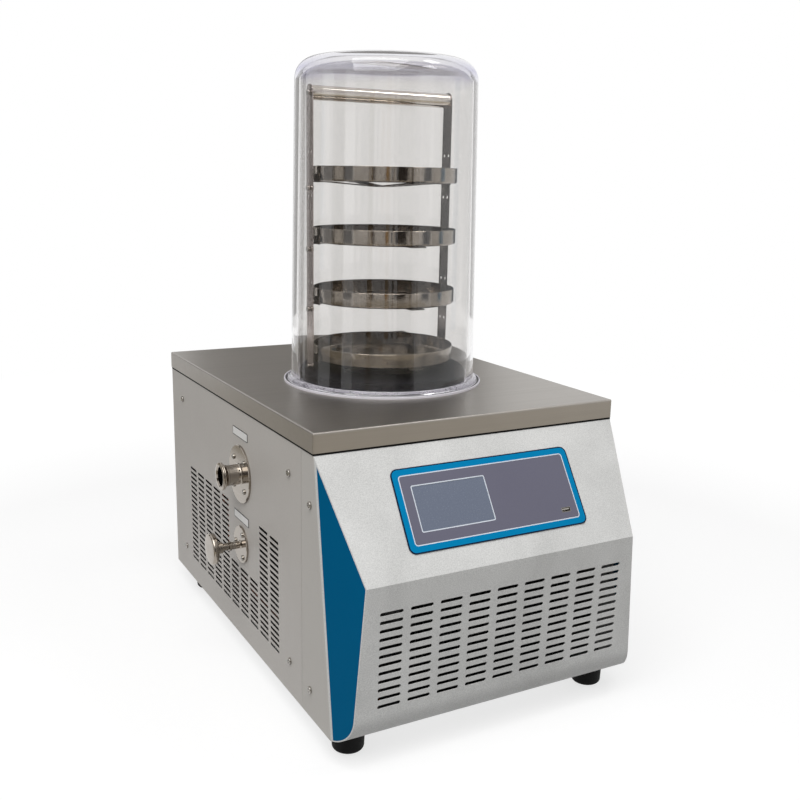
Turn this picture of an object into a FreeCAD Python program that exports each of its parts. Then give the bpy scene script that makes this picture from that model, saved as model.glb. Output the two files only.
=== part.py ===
import FreeCAD, Part
import math
import os

# Bench-top freeze dryer: a sheet-metal cabinet with a sloping nose, a cold trap under a bell jar,
# and a drying rack with four trays. Millimetres, +Z up, -Y is the front and -X the port side.
# The origin is on the bench, under the common axis of the jar, the seal ring and the cold trap.

# --- driving dimensions ---------------------------------------------------------------------

# cabinet
worktop_width = 430.0
worktop_depth = 570.0
worktop_skirt = 24.0
worktop_edge_radius = 2.0
cabinet_height = 355.0
axis_from_front = 245.0
body_inset = 1.0
shadow_gap = 2.5
sheet = 1.5
frame_sheet = 2.0
seam_setback = 35.0
seam_gap = 0.6
back_inset = 2.0

# nose, measured ahead of the worktop's front edge and above the base
knee_reach = 86.0
knee_height = 197.0
chin_reach = 80.0
chin_radius = 38.0
cheek_inset = 25.0
cheek_foot_reach = 48.0
nose_top_setback = 1.0
pan_front_reach = 45.0

# feet
foot_height = 30.0
foot_top_radius = 21.5
foot_bottom_radius = 19.5
foot_edge = 5.0
foot_from_side = 34.0
foot_from_front = -24.0
foot_from_back = 60.0
foot_bolt_radius = 3.0
foot_bolt_head_radius = 6.0
foot_bolt_head = 4.0
foot_counterbore_radius = 8.0
foot_counterbore_depth = 10.0

# base frame
frame_flange = 38.0
upright_width = 80.0
upright_tab = 20.0
upright_setback = 5.0

# panel screws
panel_screw_radius = 2.5
panel_screw_head_radius = 4.5
panel_screw_head = 2.6
panel_screw_length = 9.0
screw_crown = 0.45
hole_clearance = 0.2
fascia_screw_setback = 25.0
fascia_screw_low = 36.0
fascia_screw_drop = 60.5
side_screw_setback = 38.0
side_screw_low = 44.0
side_screw_drop = 39.5
rear_screw_from_back = 56.0
rear_screw_inset = 12.5
rear_screw_low = 30.0
rear_screw_drop = 28.5

# slots
slot_length = 30.0
side_slot_height = 4.0
side_column_pitch = 37.8
side_row_pitch = 7.76
side_columns = 10
side_rows = 20
side_short_columns = (5, 6, 7)
side_short_rows = 9
side_first_row = 38.5
side_slots_from_back = 88.0
right_columns = 5
front_slot_height = 4.6
front_column_pitch = 39.1
front_row_pitch = 10.4
front_columns = 9
front_rows = 12
front_first_drop = 34.0
rear_columns = 4
rear_rows = 14
rear_first_row = 120.0
rear_slots_x = 75.0

# control panel, placed from the middle of the slope
panel_width = 253.0
panel_length = 101.6
panel_corner = 9.0
panel_thickness = 1.2
panel_offset = -0.3373
screen_width = 103.0
screen_length = 59.0
screen_x = -54.0
screen_offset = -2.0
screen_play = 0.2
screen_body_margin = 3.5
screen_body_depth = 12.0
screen_sink = 0.4
usb_width = 13.2
usb_height = 5.8
usb_wall = 0.5
usb_depth = 12.0
usb_x = 100.0
usb_offset = -30.0
usb_play = 0.2
usb_tongue_width = 10.8
usb_tongue_thickness = 1.8
usb_tongue_setback = 1.0
board_width = 240.0
board_length = 90.0
board_thickness = 1.6
board_standoff = 18.0
standoff_radius = 3.5
standoff_edge = 5.0

# ports on the left side panel
port_drop = 115.0
port_flange_radius = 40.0
port_flange = 3.0
port_tube_radius = 14.0
port_bore_radius = 13.0
port_length = 27.0
port_lip_radius = 19.2
port_lip = 3.0
port_lip_taper = 2.5
port_screw_circle = 28.0
port_screw_count = 4
port_screw_first = 45.0
port_screw_radius = 2.0
port_screw_head_radius = 3.6
port_screw_head = 2.2
port_screw_length = 7.0
drain_drop = 51.0
drain_flange_radius = 26.0
drain_stem_radius = 5.2
drain_stem_length = 25.0
drain_screw_circle = 19.0
drain_screw_count = 3
drain_screw_first = 0.0
knob_radius = 21.6
knob_disc = 8.0
knob_edge = 2.2
knob_hub_radius = 8.0
knob_hub = 10.0
knob_flat = 2.0
knob_play = 0.5
spindle_radius = 3.0
spindle_length = 20.0
running_clearance = 0.05
label_width = 57.0
label_height = 12.0
label_thickness = 0.5
label_rises = (56.0, 38.5)

# cold trap
trap_radius = 90.0
trap_depth = 165.0
trap_wall = 1.5
trap_flange_reach = 24.0
trap_flange = 2.0
trap_hole_play = 1.0
drain_pipe_radius = 6.0
drain_pipe_bore = 4.0
drain_pipe_bend = 20.0
cover_play = 3.0
cover_thickness = 14.0
cover_edge = 2.0
cover_opening_radius = 60.0
coil_tube_radius = 4.75
coil_turns = 9
coil_pitch = 15.0
coil_lift = 15.0
coil_gap_angle = 16.0
coil_stub_angle = 4.0
coil_riser_radius = 4.0
seat_gap = 0.3
foam_radius = 140.0
foam_bottom = 24.0
vacuum_pipe_radius = 14.0
vacuum_pipe_bore = 12.5

# seal ring and bell jar
seal_gap = 2.7
seal_flange_gap = 1.0
seal_base = 2.0
seal_lip = 2.6
seal_lip_height = 3.2
jar_height = 436.0
jar_bottom_radius = 129.0
jar_draft = 6.3
jar_wall = 7.0
jar_crown = 14.0
jar_crown_rise = 4.0
jar_shoulder_radius = 28.0
jar_inner_shoulder_radius = 20.0
jar_foot_reach = 5.3
jar_foot_height = 4.5
jar_foot_slope = 2.5

# drying rack
rack_turn = -1.0
post_gap = 8.1
post_setback = 12.0
post_width = 22.0
post_thickness = 2.0
post_height = 382.0
post_hole_radius = 1.8
post_hole_spacing = 11.0
post_hole_first = 8.5
post_hole_pitch = 57.5
post_hole_rows = 6
handle_radius = 9.5
handle_screw_radius = 2.0
handle_screw_length = 16.0
handle_screw_head_radius = 4.0
handle_screw_head = 2.2
shelf_first = 15.0
shelf_pitch = 81.0
shelf_count = 4
shelf_sheet = 1.5
shelf_arm = 20.0
shelf_lug = 9.5
shelf_lug_corner = 3.0
shelf_sag = 5.0
shelf_landing_width = 18.2
shelf_hub = 10.0
shelf_ear_rise = 18.0
shelf_ear_drop = 14.5
shelf_ear_width = 14.0
shelf_ear_corner = 3.0
shelf_screw_drop = 9.0
shelf_screw_radius = 2.0
shelf_screw_head_radius = 3.8
shelf_screw_head = 2.4
shelf_nut_radius = 3.5
shelf_nut = 2.8
tray_radius = 98.2
tray_height = 20.0
tray_wall = 1.0
tray_corner = 3.0
tray_play = 0.6

# refrigeration
condenser_width = 240.0
condenser_height = 150.0
condenser_depth = 40.0
condenser_from_pan_front = 5.0
fin_count = 25
fin_sheet = 1.0
condenser_tube_rows = 5
condenser_tube_radius = 4.0
condenser_tube_overhang = 2.0
shroud_plate = 2.0
shroud_ring_length = 30.0
shroud_ring_wall = 2.0
shroud_arm = 12.0
shroud_arm_sheet = 2.0
fan_tip_gap = 5.0
fan_hub_radius = 20.0
fan_depth = 20.0
fan_blades = 5
fan_blade_chord = 24.0
fan_blade_sheet = 1.6
fan_blade_pitch = 23.0
fan_blade_root = 2.0
fan_hub_edge = 4.0
fan_lead = 5.0
motor_radius = 30.0
motor_length = 42.0
motor_edge = 3.0
motor_bore = 29.4
motor_bore_end = 2.0
motor_shaft_radius = 3.0
compressor_x = 70.0
compressor_y = 232.0
compressor_radius = 75.0
compressor_body = 120.0
compressor_dome = 34.0
compressor_plate = 3.0
compressor_rim = 3.0
compressor_stub = 12.0
compressor_stub_wall = 1.5
compressor_stub_inside = 18.0
compressor_plate_margin = 14.0
compressor_seam_height = 72.0
compressor_seam = 5.0
terminal_x = (20.0, 60.0)
terminal_z = (30.0, 85.0)
terminal_reach = 12.0
terminal_inside = 40.0
discharge_offset = -30.0
suction_offset = 8.0
discharge_height = 64.0
suction_height = 95.0
compressor_foot_x = 78.0
compressor_foot_y = 55.0
grommet_radius = 9.0
grommet_height = 14.0
grommet_bolt_radius = 3.0
grommet_bolt_head_radius = 6.0
grommet_bolt_head = 4.0
grommet_bolt_tail = 2.0
pipe_radius = 3.5
pipe_bend = 18.0
pipe_run_x = -160.0
drier_radius = 11.0
drier_length = 100.0
drier_y = 70.0
drier_shoulder = 6.6
drier_tail = 40.0
hot_line_step = 30.0
hot_line_y = 60.0

# electrics
supply_size = (80.0, 140.0, 70.0)
supply_x = 110.0
supply_y = -145.0
supply_fins = 8
supply_fin_gap = 4.0
supply_fin_depth = 6.0
supply_fin_margin = 12.0
rear_row_height = 65.0
inlet_x = -170.0
outlet_x = -110.0
switch_x = -60.0
socket_flange_width = 48.0
socket_flange_height = 30.0
socket_flange = 2.5
socket_body_width = 30.0
socket_body_height = 23.0
socket_body_depth = 18.0
socket_recess_width = 25.0
socket_recess_height = 18.0
socket_recess_depth = 15.0
pin_width = 2.0
pin_height = 4.0
pin_setback = 3.0
pin_places = ((-7.0, 1.0), (7.0, 1.0), (0.0, 5.0))
outlet_places = ((-7.0, -2.0), (7.0, -2.0), (0.0, 2.0))
switch_width = 20.0
switch_height = 30.0
switch_bezel = 2.0
switch_body_width = 16.0
switch_body_height = 25.0
switch_body_depth = 16.0
rocker_width = 12.0
rocker_radius = 10.6
rocker_play = 0.4
rocker_tilt = 8.0
rocker_pin_radius = 1.25
rocker_pin_reach = 1.0
rocker_pivot_depth = 1.0
rocker_crest = 2.2
rocker_tail = 6.0

# --- derived places -------------------------------------------------------------------------

base_z = foot_height
top_z = base_z + cabinet_height
body_top = top_z - worktop_skirt - shadow_gap
half_body = worktop_width / 2 - body_inset
inner_x = half_body - sheet
front_y = -axis_from_front
back_y = front_y + worktop_depth - back_inset
inner_back = back_y - sheet
seam_y = front_y + seam_setback
pan_front = front_y - pan_front_reach
pan_top = base_z + frame_sheet
under_top = top_z - sheet
knee_y = front_y - knee_reach
knee_z = base_z + knee_height
nose_top_y = front_y + nose_top_setback
slope_length = math.hypot(body_top - knee_z, nose_top_y - knee_y)
slope_angle = math.degrees(math.atan2(body_top - knee_z, nose_top_y - knee_y))
panel_up_slope = slope_length / 2 + panel_offset
screen_up_slope = panel_up_slope + screen_offset
usb_up_slope = panel_up_slope + usb_offset
trap_outer = trap_radius + trap_wall
trap_flange_radius = trap_radius + trap_flange_reach
trap_bottom = top_z - trap_depth
cover_bottom = top_z + trap_flange
cover_top = cover_bottom + cover_thickness
cover_radius = jar_bottom_radius - jar_wall - cover_play
jar_z = top_z + seal_base
jar_top_radius = jar_bottom_radius - jar_draft
jar_foot_radius = jar_bottom_radius + jar_foot_reach
seal_radius = jar_foot_radius + seal_gap + seal_lip
seal_inner_radius = trap_flange_radius + seal_flange_gap
coil_radius = trap_outer + coil_tube_radius + seat_gap
coil_first = trap_bottom + coil_lift
coil_last = coil_first + coil_pitch * (coil_turns - 1)
foam_z = trap_bottom - foam_bottom
vacuum_z = top_z - port_drop
drain_z = trap_bottom - drain_drop
vacuum_screws = (vacuum_z, port_screw_circle, port_screw_count, port_screw_first)
drain_screws = (drain_z, drain_screw_circle, drain_screw_count, drain_screw_first)
post_half_span = tray_radius + post_gap
post_face = post_half_span - post_thickness
post_crown = cover_top + post_height - post_width / 2
shelf_landing = tray_radius - shelf_landing_width
tray_lug_face = tray_radius + tray_play
fan_z = pan_top + condenser_height / 2
fan_radius = condenser_height / 2 - shroud_ring_wall - fan_tip_gap
condenser_front = pan_front + condenser_from_pan_front
condenser_row_pitch = condenser_height / condenser_tube_rows
condenser_low = pan_top + condenser_row_pitch / 2
condenser_back = condenser_front + condenser_depth
fan_front = condenser_back + fan_lead
ring_back = condenser_back + shroud_ring_length
compressor_z = pan_top + grommet_height
rear_row_z = base_z + rear_row_height

X = FreeCAD.Vector(1, 0, 0)
Y = FreeCAD.Vector(0, 1, 0)
Z = FreeCAD.Vector(0, 0, 1)
ORIGIN = FreeCAD.Vector(0, 0, 0)

# --- helpers --------------------------------------------------------------------------------


def at(x, y, z):
    return FreeCAD.Vector(x, y, z)


def box(x0, x1, y0, y1, z0, z1):
    return Part.makeBox(x1 - x0, y1 - y0, z1 - z0, at(x0, y0, z0))


def rod(radius, start, axis, length):
    return Part.makeCylinder(radius, length, start, axis)


def ring(outer, inner, start, axis, length):
    return rod(outer, start, axis, length).cut(rod(inner, start, axis, length))


def fuse(shapes):
    return shapes[0].multiFuse(shapes[1:]).removeSplitter()


def mirrored(shape):
    return shape.mirror(ORIGIN, X)


def both_sides(shape):
    return [mirrored(shape), shape]


def prism(points, direction):
    outline = Part.makePolygon([*points, points[0]])
    return Part.Face(outline).extrude(direction)


def revolved(outline):
    """A ring or a bowl from edges in the XZ plane, turned about Z."""
    return Part.Face(Part.Wire(outline)).revolve(ORIGIN, Z, 360)


def line(a, b):
    return Part.LineSegment(a, b).toShape()


def arc(centre, radius, start, end):
    """An arc in the XZ plane, by its angles in degrees from +X."""

    def point(angle):
        turn = math.radians(angle)
        return centre + at(radius * math.cos(turn), 0, radius * math.sin(turn))

    return Part.Arc(point(start), point((start + end) / 2), point(end)).toShape()


def slot_along(axis, centre, height, depth_axis, depth):
    """A round-ended slot cutter, long along axis and through along depth_axis."""
    half = (slot_length - height) / 2
    width = depth_axis.cross(axis) * height
    corner = centre - axis * half - width / 2
    corners = [corner, corner + axis * 2 * half, corner + axis * 2 * half + width, corner + width]
    ends = [rod(height / 2, centre + axis * side * half, depth_axis, depth) for side in (-1, 1)]
    return prism(corners, depth_axis * depth).multiFuse(ends).removeSplitter()


def beyond(point, normal):
    """A large block that fills everything past a plane."""
    size = 4 * worktop_depth
    block = Part.makeBox(size, size, size, at(-size / 2, -size / 2, 0))
    block.Placement = FreeCAD.Placement(point, FreeCAD.Rotation(Z, normal))
    return block


def on_slope(shape):
    """From a flat drawing (X across, Y up the slope, Z outward) to the nose's upper panel."""
    moved = shape.copy()
    moved.Placement = FreeCAD.Placement(at(0, knee_y, knee_z), FreeCAD.Rotation(X, slope_angle))
    return moved


def in_rack(shape):
    moved = shape.copy()
    moved.rotate(ORIGIN, Z, rack_turn)
    return moved


def rounded_plate(width, length, radius, x, y, z0, z1):
    plate = box(x - width / 2, x + width / 2, y - length / 2, y + length / 2, z0, z1)
    upright = [edge for edge in plate.Edges if abs(edge.tangentAt(edge.FirstParameter).z) > 0.9]
    return plate.makeFillet(radius, upright)


def pan_screw(tip_from, direction, radius, length, head_radius, head):
    """A pan-head screw: its head stands on tip_from and its shank runs along direction."""
    cap = rod(head_radius, tip_from - direction * head, direction, head)
    crown = tip_from - direction * head
    rim = [edge for edge in cap.Edges if edge.CenterOfMass.distanceToPoint(crown) < 0.01]
    return fuse([cap.makeFillet(head * screw_crown, rim[:1]), rod(radius, tip_from, direction, length)])


def route(points, bend):
    """Straight runs between the points, joined by tangent arcs."""
    edges = []
    start = points[0]
    for before, corner, after in zip(points, points[1:], points[2:]):
        into = (corner - before).normalize()
        out = (after - corner).normalize()
        turn = into.getAngle(out)
        setback = bend * math.tan(turn / 2)
        first = corner - into * setback
        last = corner + out * setback
        towards = (out - into).normalize()
        middle = corner + towards * (bend / math.cos(turn / 2) - bend)
        edges.append(line(start, first))
        edges.append(Part.Arc(first, middle, last).toShape())
        start = last
    edges.append(line(start, points[-1]))
    return Part.Wire(edges)


def pipe(points, radius, bend):
    direction = points[1] - points[0]
    mouth = Part.Wire(Part.makeCircle(radius, points[0], direction))
    return route(points, bend).makePipeShell([mouth], True, True)


def hollow_pipe(points, radius, bore, bend):
    return pipe(points, radius, bend).cut(pipe(points, bore, bend))


nodes = {}


def keep(name, *shapes):
    """Hold a node's solids under its name until everything is written out."""
    nodes[name] = shapes[0] if len(shapes) == 1 else Part.makeCompound(list(shapes))


# --- cabinet --------------------------------------------------------------------------------


def cheek_normal():
    foot = at(half_body, front_y - cheek_foot_reach, base_z)
    top = at(half_body, nose_top_y, body_top)
    knee = at(half_body - cheek_inset, knee_y, knee_z)
    normal = (top - foot).cross(knee - foot).normalize()
    return normal if normal.x > 0 else normal * -1


def nose_block(inset):
    """The nose without its cheeks, with every outer face moved in by inset."""
    outline = Part.makePolygon([
        at(0, seam_y, base_z),
        at(0, front_y - chin_reach, base_z),
        at(0, knee_y, knee_z),
        at(0, nose_top_y, body_top),
        at(0, seam_y, body_top),
        at(0, seam_y, base_z),
    ])
    face = Part.Face(outline)
    if inset:
        face = face.makeOffset2D(-inset, 2)
    half = half_body - inset
    face.translate(at(-half, 0, 0))
    block = face.extrude(X * 2 * half)
    along = [edge for edge in block.Edges if abs(edge.tangentAt(edge.FirstParameter).x) > 0.9]
    chin = min(along, key=lambda edge: edge.CenterOfMass.y + edge.CenterOfMass.z)
    return block.makeFillet(chin_radius - inset, [chin])


def past_cheek(inset):
    """Everything outside the right cheek's plane moved in by inset."""
    normal = cheek_normal()
    return beyond(at(half_body, front_y - cheek_foot_reach, base_z) - normal * inset, normal)


def nose(inset):
    right = past_cheek(inset)
    return nose_block(inset).cut(right).cut(mirrored(right))


def cheek():
    """The flat corner plate on the right, let in flush so the fascia's sheet edge frames it."""
    return nose_block(sheet).common(past_cheek(sheet)).cut(past_cheek(0))


def screen_window(play, z0, z1):
    half_width = screen_width / 2 + play
    half_length = screen_length / 2 + play
    return box(screen_x - half_width, screen_x + half_width,
               screen_up_slope - half_length, screen_up_slope + half_length, z0, z1)


def usb_window(play, z0, z1):
    half_width = usb_width / 2 + play
    half_height = usb_height / 2 + play
    return box(usb_x - half_width, usb_x + half_width,
               usb_up_slope - half_height, usb_up_slope + half_height, z0, z1)


def side_screw_places():
    """Centres of the side screws on the outer face: two through the fascia, four per panel."""
    fascia = [at(half_body, seam_y - fascia_screw_setback, z)
              for z in (base_z + fascia_screw_low, body_top - fascia_screw_drop)]
    rows = (seam_y + side_screw_setback, back_y - rear_screw_from_back)
    heights = (base_z + side_screw_low, body_top - side_screw_drop)
    panel = [at(half_body, y, z) for y in rows for z in heights]
    return fascia, panel


def side_screw_holes(places):
    radius = panel_screw_radius + hole_clearance
    return [rod(radius, place + X, -X, frame_sheet + sheet + 2) for place in places]


def make_fascia():
    inside = half_body - sheet
    shell = nose(0).cut(nose(sheet))
    rear = box(-inside, inside, seam_y - 2 * sheet, seam_y + 1, base_z + sheet, body_top - sheet)
    bottom = box(-inside, inside, pan_front - seam_gap, seam_y + 1, base_z - 1, base_z + 2 * sheet)
    notch = box(half_body - sheet - 2 * frame_sheet, half_body - sheet, nose_top_y + frame_sheet,
                seam_y + 1, body_top - 2 * sheet, body_top + 1)
    plate = cheek()
    shell = shell.cut(rear).cut(bottom).cut(notch).cut(mirrored(notch))
    shell = shell.cut(plate).cut(mirrored(plate))
    slots = []
    for column in range(front_columns):
        for row in range(front_rows):
            x = (column - (front_columns - 1) / 2) * front_column_pitch
            z = knee_z - front_first_drop - row * front_row_pitch
            slots.append(slot_along(X, at(x, knee_y - sheet, z), front_slot_height, Y, knee_reach / 3))
    shell = shell.cut(Part.makeCompound(slots))
    for window in (screen_window(0, -2 * sheet, 1), usb_window(usb_play, -2 * sheet, 1)):
        shell = shell.cut(on_slope(window))
    for hole in side_screw_holes(side_screw_places()[0]):
        shell = shell.cut(hole).cut(mirrored(hole))
    keep("front_fascia", shell)
    keep("left_cheek", mirrored(plate))
    keep("right_cheek", plate)


def port_screw_places(height, circle, count, first):
    """Screw centres round a port on the left panel, first in degrees up from straight back."""
    angles = [math.radians(first + turn * 360 / count) for turn in range(count)]
    return [at(-half_body, circle * math.cos(angle), height + circle * math.sin(angle))
            for angle in angles]


def side_slots(columns, short_columns):
    slots = []
    for column in range(columns):
        y = back_y - side_slots_from_back - slot_length / 2 - column * side_column_pitch
        for row in range(side_short_rows if column in short_columns else side_rows):
            z = base_z + side_first_row + row * side_row_pitch
            slots.append(slot_along(Y, at(inner_x - 1, y, z), side_slot_height, X, sheet + 2))
    return Part.makeCompound(slots)


def make_side_panels():
    blank = box(inner_x, half_body, seam_y + seam_gap, back_y, base_z, body_top)
    for hole in side_screw_holes(side_screw_places()[1]):
        blank = blank.cut(hole)
    keep("right_side_panel", blank.cut(side_slots(right_columns, ())))
    left = mirrored(blank.cut(side_slots(side_columns, side_short_columns)))
    left = left.cut(rod(vacuum_pipe_radius + trap_hole_play, at(-half_body - 1, 0, vacuum_z), X, sheet + 2))
    left = left.cut(rod(drain_pipe_radius + trap_hole_play, at(-half_body - 1, 0, drain_z), X, sheet + 2))
    for place in port_screw_places(*vacuum_screws) + port_screw_places(*drain_screws):
        left = left.cut(rod(port_screw_radius + hole_clearance, place - X, X, sheet + 2))
    keep("left_side_panel", left)


def rear_screw_places():
    low = base_z + rear_screw_low
    high = body_top - rear_screw_drop
    return [at(side * (inner_x - rear_screw_inset), back_y, z)
            for side in (-1, 1) for z in (low, (low + high) / 2, high)]


def socket_hole(x):
    return box(x - socket_body_width / 2 - hole_clearance, x + socket_body_width / 2 + hole_clearance,
               inner_back - 1, back_y + 1, rear_row_z - socket_body_height / 2 - hole_clearance,
               rear_row_z + socket_body_height / 2 + hole_clearance)


def make_rear_panel():
    panel = box(-inner_x, inner_x, inner_back, back_y, base_z, body_top)
    slots = []
    for column in range(rear_columns):
        x = rear_slots_x + (column - (rear_columns - 1) / 2) * side_column_pitch
        for row in range(rear_rows):
            z = base_z + rear_first_row + row * side_row_pitch
            slots.append(slot_along(X, at(x, inner_back - 1, z), side_slot_height, Y, sheet + 2))
    panel = panel.cut(Part.makeCompound(slots))
    for x in (inlet_x, outlet_x):
        panel = panel.cut(socket_hole(x))
    half_width = switch_body_width / 2 + hole_clearance
    half_height = switch_body_height / 2 + hole_clearance
    panel = panel.cut(box(switch_x - half_width, switch_x + half_width, inner_back - 1, back_y + 1,
                          rear_row_z - half_height, rear_row_z + half_height))
    for place in rear_screw_places():
        panel = panel.cut(rod(panel_screw_radius + hole_clearance, place + Y, -Y, sheet + 2))
    keep("rear_panel", panel)


def compressor_feet():
    return [at(compressor_x + sx * compressor_foot_x, compressor_y + sy * compressor_foot_y, pan_top)
            for sx in (-1, 1) for sy in (-1, 1)]


def foot_places():
    rows = (front_y + foot_from_front, back_y - foot_from_back)
    return [at(side * (half_body - foot_from_side), y, 0) for side in (-1, 1) for y in rows]


def make_base_frame():
    """The pan, its upturned edges and the four corner uprights are one welded piece."""
    edge = inner_x - frame_sheet
    pieces = [
        box(-inner_x, inner_x, pan_front, inner_back, base_z, pan_top),
        box(-edge, edge, inner_back - frame_sheet, inner_back, base_z, base_z + frame_flange),
    ]
    front = front_y + upright_setback
    rear = inner_back - upright_width
    right = [box(edge, inner_x, front, inner_back, base_z, base_z + frame_flange)]
    for start in (front, rear):
        end = start + upright_width
        right.append(box(edge, inner_x, start, end, base_z, under_top))
        right.append(box(inner_x - upright_tab, inner_x, start, end, under_top - frame_sheet, under_top))
        right.append(box(inner_x - upright_tab, inner_x, end - frame_sheet, end, base_z, under_top))
    for piece in right:
        pieces += both_sides(piece)
    frame = fuse(pieces)
    fascia, panel = side_screw_places()
    for hole in side_screw_holes(fascia + panel):
        frame = frame.cut(hole).cut(mirrored(hole))
    for place in rear_screw_places():
        frame = frame.cut(rod(panel_screw_radius + hole_clearance, place + Y, -Y, sheet + frame_sheet + 2))
    for place in foot_places():
        frame = frame.cut(rod(foot_bolt_radius + hole_clearance, at(place.x, place.y, base_z - 1), Z, 4))
    for place in compressor_feet():
        frame = frame.cut(rod(grommet_bolt_radius + hole_clearance, place - Z * 4, Z, 5))
    keep("base_frame", frame)


def make_worktop():
    half = worktop_width / 2
    rear = front_y + worktop_depth
    skin = box(-half, half, front_y, rear, top_z - worktop_skirt, top_z)
    crisp = [edge for edge in skin.Edges if edge.CenterOfMass.z > top_z - worktop_skirt + 1]
    skin = skin.makeFillet(worktop_edge_radius, crisp)
    skin = skin.cut(box(-half + sheet, half - sheet, front_y + sheet, rear - sheet,
                        top_z - worktop_skirt - 1, under_top))
    hole = rod(trap_outer + trap_hole_play, at(0, 0, under_top - 1), Z, sheet + 2)
    keep("worktop", skin.cut(hole))


def make_feet():
    feet = []
    bolts = []
    for place in foot_places():
        foot = Part.makeCone(foot_bottom_radius, foot_top_radius, foot_height, place, Z)
        edges = [edge for edge in foot.Edges if edge.CenterOfMass.z < 0.01 and edge.Length > foot_height]
        foot = foot.makeFillet(foot_edge, edges[:1])
        foot = foot.cut(rod(foot_counterbore_radius, place, Z, foot_counterbore_depth))
        feet.append(foot.cut(rod(foot_bolt_radius + hole_clearance, place, Z, foot_height + 1)))
        head = at(place.x, place.y, foot_counterbore_depth)
        reach = foot_height - foot_counterbore_depth + 3 * frame_sheet
        bolts.append(pan_screw(head, Z, foot_bolt_radius, reach, foot_bolt_head_radius, foot_bolt_head))
    keep("feet", *feet)
    keep("foot_bolts", *bolts)


def make_panel_screws():
    fascia, panel = side_screw_places()
    sizes = (panel_screw_radius, panel_screw_length, panel_screw_head_radius, panel_screw_head)
    for name, places in (("fascia_screws", fascia), ("side_panel_screws", panel)):
        screws = []
        for place in places:
            screws += both_sides(pan_screw(place, -X, *sizes))
        keep(name, *screws)
    keep("rear_panel_screws", *[pan_screw(place, -Y, *sizes) for place in rear_screw_places()])


# --- controls on the slope ------------------------------------------------------------------


def make_controls():
    plate = rounded_plate(panel_width, panel_length, panel_corner, 0, panel_up_slope, 0, panel_thickness)
    plate = plate.cut(screen_window(0, -1, panel_thickness + 1))
    plate = plate.cut(usb_window(usb_play, -1, panel_thickness + 1))
    keep("control_panel", on_slope(plate))

    back = -sheet
    face = screen_window(-screen_play, back, panel_thickness - screen_sink)
    margin = screen_body_margin
    body = box(screen_x - screen_width / 2 - margin, screen_x + screen_width / 2 + margin,
               screen_up_slope - screen_length / 2 - margin, screen_up_slope + screen_length / 2 + margin,
               back - screen_body_depth, back)
    keep("touch_screen", on_slope(fuse([face, body])))

    board_top = back - board_standoff
    shell = usb_window(0, board_top, panel_thickness)
    cavity = usb_window(-usb_wall, panel_thickness - usb_depth, panel_thickness + 1)
    tongue = box(usb_x - usb_tongue_width / 2, usb_x + usb_tongue_width / 2, usb_up_slope,
                 usb_up_slope + usb_tongue_thickness, panel_thickness - usb_depth,
                 panel_thickness - usb_tongue_setback)
    keep("usb_socket", on_slope(shell.cut(cavity).fuse(tongue).removeSplitter()))

    board = box(-board_width / 2, board_width / 2, panel_up_slope - board_length / 2,
                panel_up_slope + board_length / 2, board_top - board_thickness, board_top)
    keep("control_board", on_slope(board))
    posts = []
    for sx in (-1, 1):
        for sy in (-1, 1):
            x = sx * (board_width / 2 - standoff_edge)
            y = panel_up_slope + sy * (board_length / 2 - standoff_edge)
            posts.append(on_slope(rod(standoff_radius, at(x, y, board_top), Z, board_standoff)))
    keep("board_standoffs", *posts)


# --- ports on the left side -----------------------------------------------------------------


def port_screws(pattern):
    return [pan_screw(place - X * port_flange, X, port_screw_radius, port_screw_length,
                      port_screw_head_radius, port_screw_head) for place in port_screw_places(*pattern)]


def port_screw_cutters(pattern):
    return [rod(port_screw_radius + hole_clearance, place - X * (port_flange + 1), X, port_flange + 2)
            for place in port_screw_places(*pattern)]


def make_vacuum_port():
    wall = at(-half_body, 0, vacuum_z)
    end = wall - X * (port_flange + port_length)
    lip_back = end + X * port_lip
    parts = [
        rod(port_flange_radius, wall, -X, port_flange),
        rod(port_tube_radius, wall, -X, port_flange + port_length),
        rod(port_lip_radius, end, X, port_lip),
        Part.makeCone(port_lip_radius, port_tube_radius, port_lip_taper, lip_back, X),
    ]
    port = fuse(parts).cut(rod(port_bore_radius, end - X, X, port_flange + port_length + 2))
    for cutter in port_screw_cutters(vacuum_screws):
        port = port.cut(cutter)
    keep("vacuum_port", port)
    keep("vacuum_port_screws", *port_screws(vacuum_screws))


def make_drain_valve():
    wall = at(-half_body, 0, drain_z)
    stem_end = port_flange + drain_stem_length
    body = fuse([
        rod(drain_flange_radius, wall, -X, port_flange),
        rod(drain_stem_radius, wall, -X, stem_end),
    ])
    hub_start = wall - X * (stem_end + knob_play)
    bore_floor = hub_start + X * (spindle_length + knob_play)
    body = body.cut(rod(spindle_radius + running_clearance, bore_floor, -X, spindle_length + 2))
    for cutter in port_screw_cutters(drain_screws):
        body = body.cut(cutter)
    keep("drain_valve_body", body)
    keep("drain_valve_screws", *port_screws(drain_screws))

    disc = rod(knob_radius, hub_start - X * knob_hub, -X, knob_disc)
    disc = disc.makeFillet(knob_edge, [edge for edge in disc.Edges if edge.Length > 2 * knob_radius])
    spindle = rod(spindle_radius, hub_start, X, spindle_length)
    hub = rod(knob_hub_radius, hub_start, -X, knob_hub)
    flat = box(hub_start.x - knob_hub, hub_start.x, -knob_hub_radius, knob_hub_radius,
               drain_z + knob_hub_radius - knob_flat, drain_z + knob_hub_radius)
    keep("drain_valve_knob", fuse([disc, hub.cut(flat), spindle]))


def make_labels():
    plates = []
    for port_z, rise in zip((vacuum_z, drain_z), label_rises):
        z = port_z + rise
        plates.append(box(-half_body - label_thickness, -half_body, -label_width / 2, label_width / 2,
                          z - label_height / 2, z + label_height / 2))
    keep("port_label_plates", *plates)


# --- cold trap and its pipes ----------------------------------------------------------------


def drain_route():
    return [at(0, 0, trap_bottom - trap_wall), at(0, 0, drain_z), at(-half_body, 0, drain_z)]


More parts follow.
